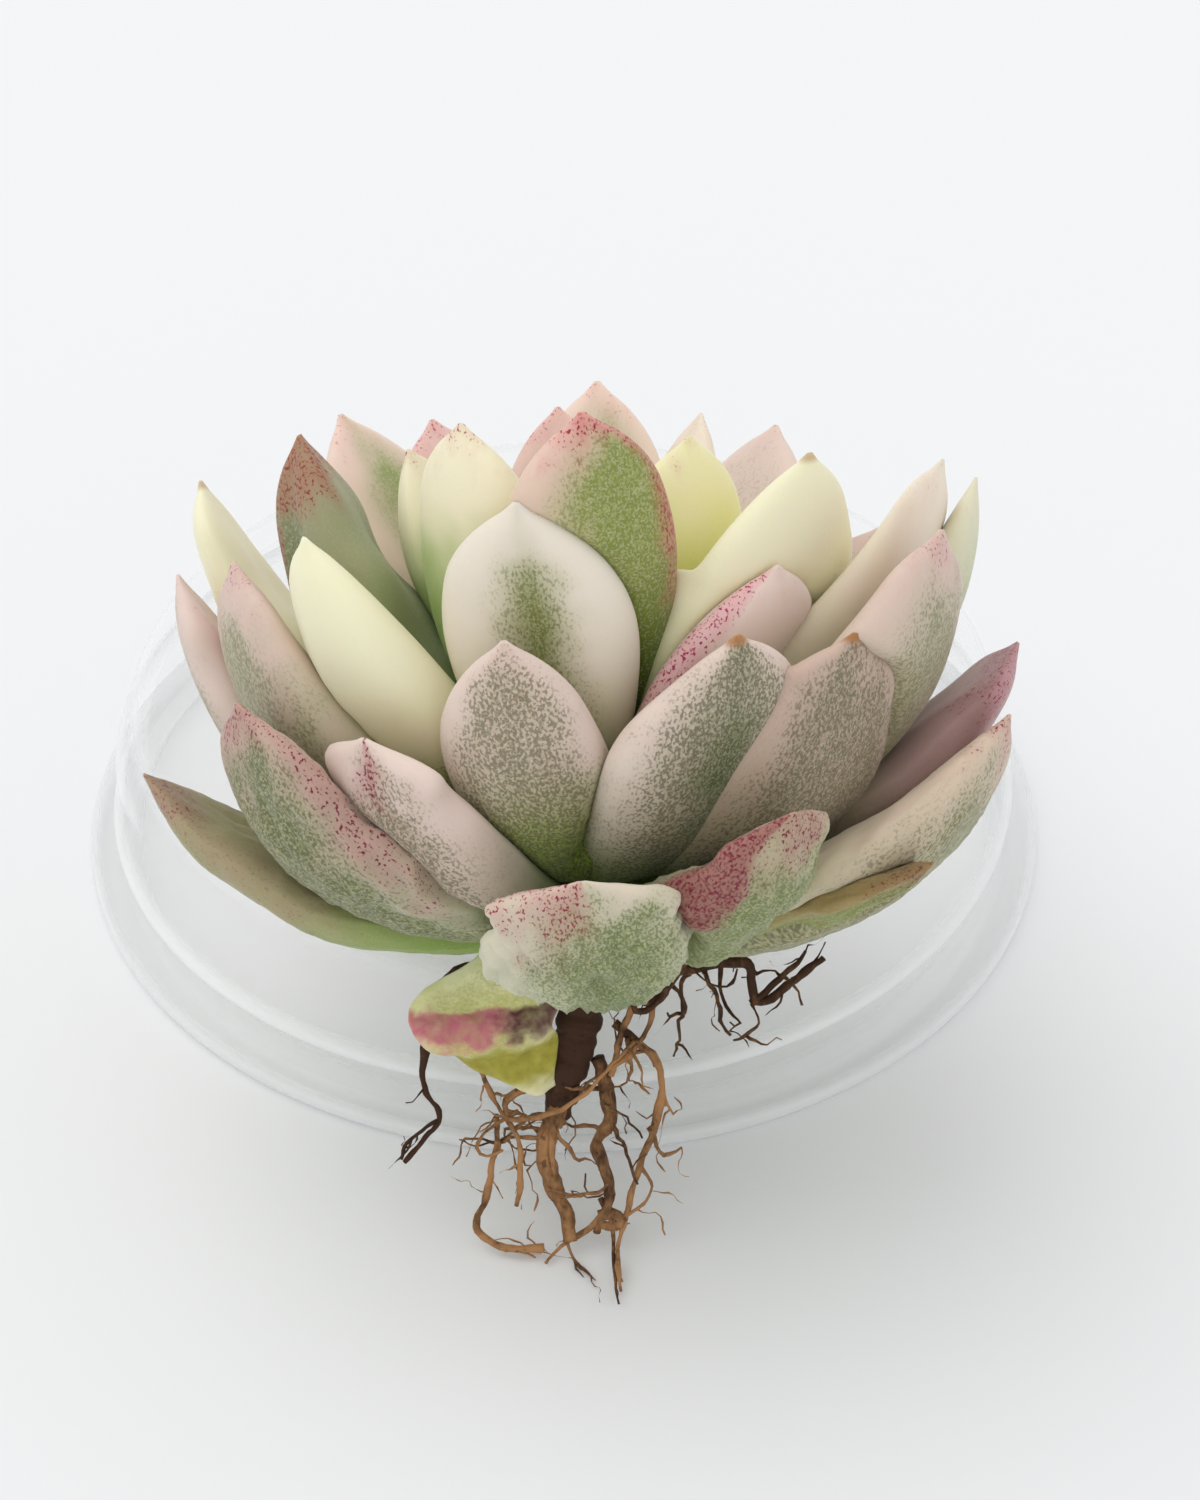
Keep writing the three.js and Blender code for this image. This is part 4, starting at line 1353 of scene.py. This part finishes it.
# middle line of the withered leaf, millimetres from the middle of the tub, with
# half width and half thickness: it hangs, rolls over in a thick lip and drops as a flap
HANGING = [
    ((-1.9, -31.8, 17.6), 1.2, 0.5), ((-2.6, -32.4, 16.8), 1.9, 0.55),
    ((-3.4, -33.1, 15.6), 3.1, 0.6),
    ((-4.1, -33.9, 14.6), 4.3, 0.7), ((-4.3, -34.8, 14.1), 4.6, 0.8), ((-4.2, -35.3, 13.5), 4.4, 0.8),
    ((-3.6, -35.1, 12.9), 3.9, 0.7), ((-3.1, -34.8, 12.3), 3.5, 0.6), ((-2.7, -35.0, 11.6), 3.0, 0.55),
    ((-2.2, -35.3, 10.8), 2.4, 0.5), ((-1.7, -35.4, 10.2), 1.7, 0.45), ((-1.2, -35.4, 9.8), 1.0, 0.3),
]


def withered_material():
    """Cream and olive skin with a dull magenta band where the leaf rolls over."""
    material = leaf_material("withered")
    tree = Tree(material.node_tree, keep=True)
    shader = next(n for n in tree.tree.nodes if n.type == "BSDF_PRINCIPLED")
    skin = shader.inputs["Base Color"].links[0].from_socket
    share = tree.node("ShaderNodeAttribute", attribute_name="leaf_share").outputs["Vector"]
    parts = tree.node("ShaderNodeSeparateXYZ", {0: share}).outputs
    place = tree.node("ShaderNodeTexCoord").outputs["Object"]
    ragged = tree.math("MULTIPLY_ADD", tree.noise(place, 900, 3.0), 0.16, -0.08)
    spot = tree.math("ADD", parts[0], ragged)
    band = tree.math("MULTIPLY", tree.ease(spot, 0.36, 0.42), tree.ease(spot, 0.60, 0.52))
    mottle = tree.noise(place, 1500, 2.0)
    band = tree.math("MULTIPLY", band, tree.math("MULTIPLY_ADD", mottle, 0.8, 0.45), clamp=True)
    dusk = tree.ease(tree.math("MULTIPLY_ADD", mottle, 0.5, parts[1]), 0.3, 0.75)
    pink = tree.mix(dusk, srgb(0.76, 0.42, 0.48), srgb(0.36, 0.14, 0.20))
    flap = tree.math("MULTIPLY", tree.ease(spot, 0.55, 0.66), tree.ease(spot, 0.97, 0.84))
    olive = tree.mix(mottle, srgb(0.52, 0.50, 0.10), srgb(0.74, 0.70, 0.30))
    skin = tree.mix(flap, skin, olive)
    tree.tree.links.new(tree.mix(band, skin, pink), shader.inputs["Base Color"])
    return material


def make_hanging_leaf():
    """The blank bent along the hanging leaf's line, then folded all over."""
    mesh = leaf_blank().copy()
    piece = bpy.data.objects.new("hanging_leaf_blade", mesh)
    bpy.context.scene.collection.objects.link(piece)
    refine(piece, "SIMPLE")
    mesh = piece.data
    x, t, z = mesh_points(mesh).T
    widths, depths = (np.maximum(values, 1e-6) for values in smooth_table(BLANK, t))
    across, face = np.clip(x / widths, -1, 1), z / depths
    line = smooth_route([from_tub(point) for point, _, _ in HANGING], 0.15 * MM)
    line = np.array([tuple(point) for point in line])
    travelled = np.concatenate([[0], np.cumsum(np.linalg.norm(np.diff(line, axis=0), axis=1))])
    travelled /= travelled[-1]
    centre = np.column_stack([np.interp(t, travelled, line[:, k]) for k in range(3)])
    heading = np.column_stack([np.interp(t, travelled, np.gradient(line[:, k])) for k in range(3)])
    heading /= np.linalg.norm(heading, axis=1)[:, None]
    side = np.array([1.0, 0.12, 0.06])
    side /= np.linalg.norm(side)
    normal = np.cross(side, heading)
    normal /= np.linalg.norm(normal, axis=1)[:, None]
    stations = np.linspace(0, 1, len(HANGING))
    half = np.interp(t, stations, [row[1] for row in HANGING]) * MM
    thick = np.interp(t, stations, [row[2] for row in HANGING]) * MM
    cup = (across**2) * 1.3 * MM
    depth = face * thick * np.sqrt(1 - 0.75 * across**2)
    points = centre + side * (across * half)[:, None] + normal * depth[:, None]
    points += np.array([0, 1.0, 0.25]) * (cup * np.clip(1 - t, 0.25, 1))[:, None]
    for i, point in enumerate(points):
        spot = Vector(point)
        big = noise.noise(spot * 330)
        small = noise.noise(Vector((spot.x * 900, spot.y * 500, spot.z * 420)))
        fine = noise.noise(spot * 1700)
        points[i] += normal[i] * (big * 0.75 + small * 0.45 + fine * 0.12) * MM * 0.75
        points[i, 2] += 0.35 * MM * noise.noise(Vector((spot.x * 420, 3, 1)))
    set_points(mesh, points)
    add_attribute(mesh, "leaf_share", np.column_stack([t, across, face]))
    add_attribute(mesh, "leaf_place", points)
    make_active(piece)
    face_outwards()
    smooth_shade(piece)
    finish_piece(piece, "hanging_leaf_blade", withered_material(), "leaf_withered", "hanging_leaf")


# ---------------------------------------------------------------- stage

VIEW_AIM = Vector((2.37, 7.9, 0)) * MM  # from the tub's centre, on the floor
ROOM_LIGHT = 0.85
# each light: the direction it comes from, its strength, its spread in degrees and its tint
LIGHTS = {
    "key": (Vector((-0.26, 0.1, 0.55)), 0.72, 60, (1.0, 0.985, 0.96)),
    "fill": (Vector((0.1, -0.5, 0.4)), 0.15, 60, (0.97, 0.985, 1.0)),
}


def make_world():
    """An even, faintly cool white room."""
    world = bpy.data.worlds.new("soft white room")
    world.use_nodes = True
    tree = Tree(world.node_tree)
    room = {"Color": (0.97, 0.985, 1.0, 1.0), "Strength": ROOM_LIGHT}
    background = tree.node("ShaderNodeBackground", room)
    tree.node("ShaderNodeOutputWorld", {"Surface": background.outputs[0]})
    bpy.context.scene.world = world


def sun_light(name, direction, strength, spread, tint):
    """A broad even light that comes from one direction, its spread in degrees."""
    bpy.ops.object.light_add(type="SUN", location=TUB_CENTRE + direction)
    light = bpy.context.object
    light.name = name
    light.data.energy = strength
    light.data.angle = math.radians(spread)
    light.data.color = tint
    light.rotation_euler = direction.to_track_quat("Z", "Y").to_euler()


def make_camera():
    stage = bpy.context.scene.stage_settings
    aim = Vector((TUB_CENTRE.x, TUB_CENTRE.y, 0)) + VIEW_AIM
    back = Vector((0, -math.cos(stage.pitch), math.sin(stage.pitch)))
    bpy.ops.object.camera_add(location=aim + back * stage.distance)
    camera = bpy.context.object
    camera.rotation_euler = (-back).to_track_quat("-Z", "Y").to_euler()
    camera.data.lens = stage.lens
    camera.data.sensor_width = 36
    camera.data.clip_start = 0.01
    bpy.context.scene.camera = camera


def floor_material(colour):
    material = bpy.data.materials.new("pale floor")
    material.use_nodes = True
    tree = Tree(material.node_tree)
    place = tree.node("ShaderNodeTexCoord").outputs["Object"]
    cloud = tree.noise(place, 6, 2.0)
    dim = tuple(value * 0.985 for value in colour[:3]) + (1.0,)
    shader = tree.node("ShaderNodeBsdfPrincipled", {
        "Base Color": tree.mix(cloud, colour, dim), "Roughness": 0.6, "Specular IOR Level": 0.2})
    tree.node("ShaderNodeOutputMaterial", {"Surface": shader.outputs[0]})
    return material


# ---------------------------------------------------------------- operators

class SUCCULENT_OT_stage(bpy.types.Operator):
    """Adds the pale floor, the soft lights and the camera"""
    bl_idname = "succulent.stage"
    bl_label = "Stage"

    def execute(self, context):
        stage = context.scene.stage_settings
        deselect_all()
        middle = (TUB_CENTRE.x, TUB_CENTRE.y, -0.02 * MM)
        bpy.ops.mesh.primitive_plane_add(size=3.0, location=middle)
        floor = context.object
        bpy.ops.object.transform_apply()
        floor.name = "floor"
        floor.data.materials.append(floor_material(tuple(stage.floor)))
        make_world()
        for name, (direction, strength, spread, tint) in LIGHTS.items():
            sun_light(name, direction, strength * stage.lights, spread, tint)
        make_camera()
        context.scene.view_settings.view_transform = "Standard"
        return {"FINISHED"}


class SUCCULENT_OT_low_leaves(bpy.types.Operator):
    """Grows the lowest ring of leaves"""
    bl_idname = "succulent.low_leaves"
    bl_label = "Low leaves"

    def execute(self, context):
        grow_ring("low_leaf")
        return {"FINISHED"}


class SUCCULENT_OT_middle_leaves(bpy.types.Operator):
    """Grows the ring of leaves above the lowest"""
    bl_idname = "succulent.middle_leaves"
    bl_label = "Middle leaves"

    def execute(self, context):
        grow_ring("middle_leaf")
        return {"FINISHED"}


class SUCCULENT_OT_inner_leaves(bpy.types.Operator):
    """Grows the steep leaves round the heart"""
    bl_idname = "succulent.inner_leaves"
    bl_label = "Inner leaves"

    def execute(self, context):
        grow_ring("inner_leaf")
        return {"FINISHED"}


class SUCCULENT_OT_heart_leaves(bpy.types.Operator):
    """Grows the small leaves of the heart"""
    bl_idname = "succulent.heart_leaves"
    bl_label = "Heart leaves"

    def execute(self, context):
        grow_ring("heart_leaf")
        return {"FINISHED"}


class SUCCULENT_OT_hanging_leaf(bpy.types.Operator):
    """Makes the withered leaf that hangs beside the stem"""
    bl_idname = "succulent.hanging_leaf"
    bl_label = "Hanging leaf"

    def execute(self, context):
        make_hanging_leaf()
        return {"FINISHED"}


class SUCCULENT_OT_stem(bpy.types.Operator):
    """Makes the woody stem and the crown inside the rosette"""
    bl_idname = "succulent.stem"
    bl_label = "Stem"

    def execute(self, context):
        make_stem()
        return {"FINISHED"}


class SUCCULENT_OT_roots(bpy.types.Operator):
    """Makes the main roots with their fine roots and hairs"""
    bl_idname = "succulent.roots"
    bl_label = "Roots"

    def execute(self, context):
        noise.seed_set(BEND_SEED)
        for i, name in enumerate(ROOTS):
            make_root(name, i + 1)
        return {"FINISHED"}


class SUCCULENT_OT_tub(bpy.types.Operator):
    """Makes the upturned frosted tub with its screw thread"""
    bl_idname = "succulent.tub"
    bl_label = "Tub"

    def execute(self, context):
        make_tub()
        return {"FINISHED"}


STEPS = [
    SUCCULENT_OT_stage, SUCCULENT_OT_tub, SUCCULENT_OT_stem, SUCCULENT_OT_roots,
    SUCCULENT_OT_hanging_leaf, SUCCULENT_OT_low_leaves, SUCCULENT_OT_middle_leaves,
    SUCCULENT_OT_inner_leaves, SUCCULENT_OT_heart_leaves,
]


class SUCCULENT_PT_panel(bpy.types.Panel):
    """Lists the steps in their order, and the settings"""
    bl_label = "Succulent"
    bl_idname = "SUCCULENT_PT_panel"
    bl_space_type = "VIEW_3D"
    bl_region_type = "UI"
    bl_category = "Succulent"

    def draw(self, context):
        for step in STEPS:
            self.layout.operator(step.bl_idname)
        for name in SETTINGS:
            box = self.layout.box()
            group = getattr(context.scene, name)
            for key in group.__annotations__:
                box.prop(group, key)


SETTINGS = {
    "leaf_settings": LeafSettings, "root_settings": RootSettings,
    "tub_settings": TubSettings, "stage_settings": StageSettings,
}


def register():
    for name, group in SETTINGS.items():
        bpy.utils.register_class(group)
        setattr(bpy.types.Scene, name, bpy.props.PointerProperty(type=group))
    for step in STEPS:
        bpy.utils.register_class(step)
    bpy.utils.register_class(SUCCULENT_PT_panel)


def unregister():
    bpy.utils.unregister_class(SUCCULENT_PT_panel)
    for step in reversed(STEPS):
        bpy.utils.unregister_class(step)
    for name, group in SETTINGS.items():
        delattr(bpy.types.Scene, name)
        bpy.utils.unregister_class(group)


def main():
    register()
    bpy.ops.succulent.stage()
    bpy.ops.succulent.tub()
    bpy.ops.succulent.stem()
    bpy.ops.succulent.roots()
    bpy.ops.succulent.hanging_leaf()
    bpy.ops.succulent.low_leaves()
    bpy.ops.succulent.middle_leaves()
    bpy.ops.succulent.inner_leaves()
    bpy.ops.succulent.heart_leaves()


if __name__ == "__main__":
    main()
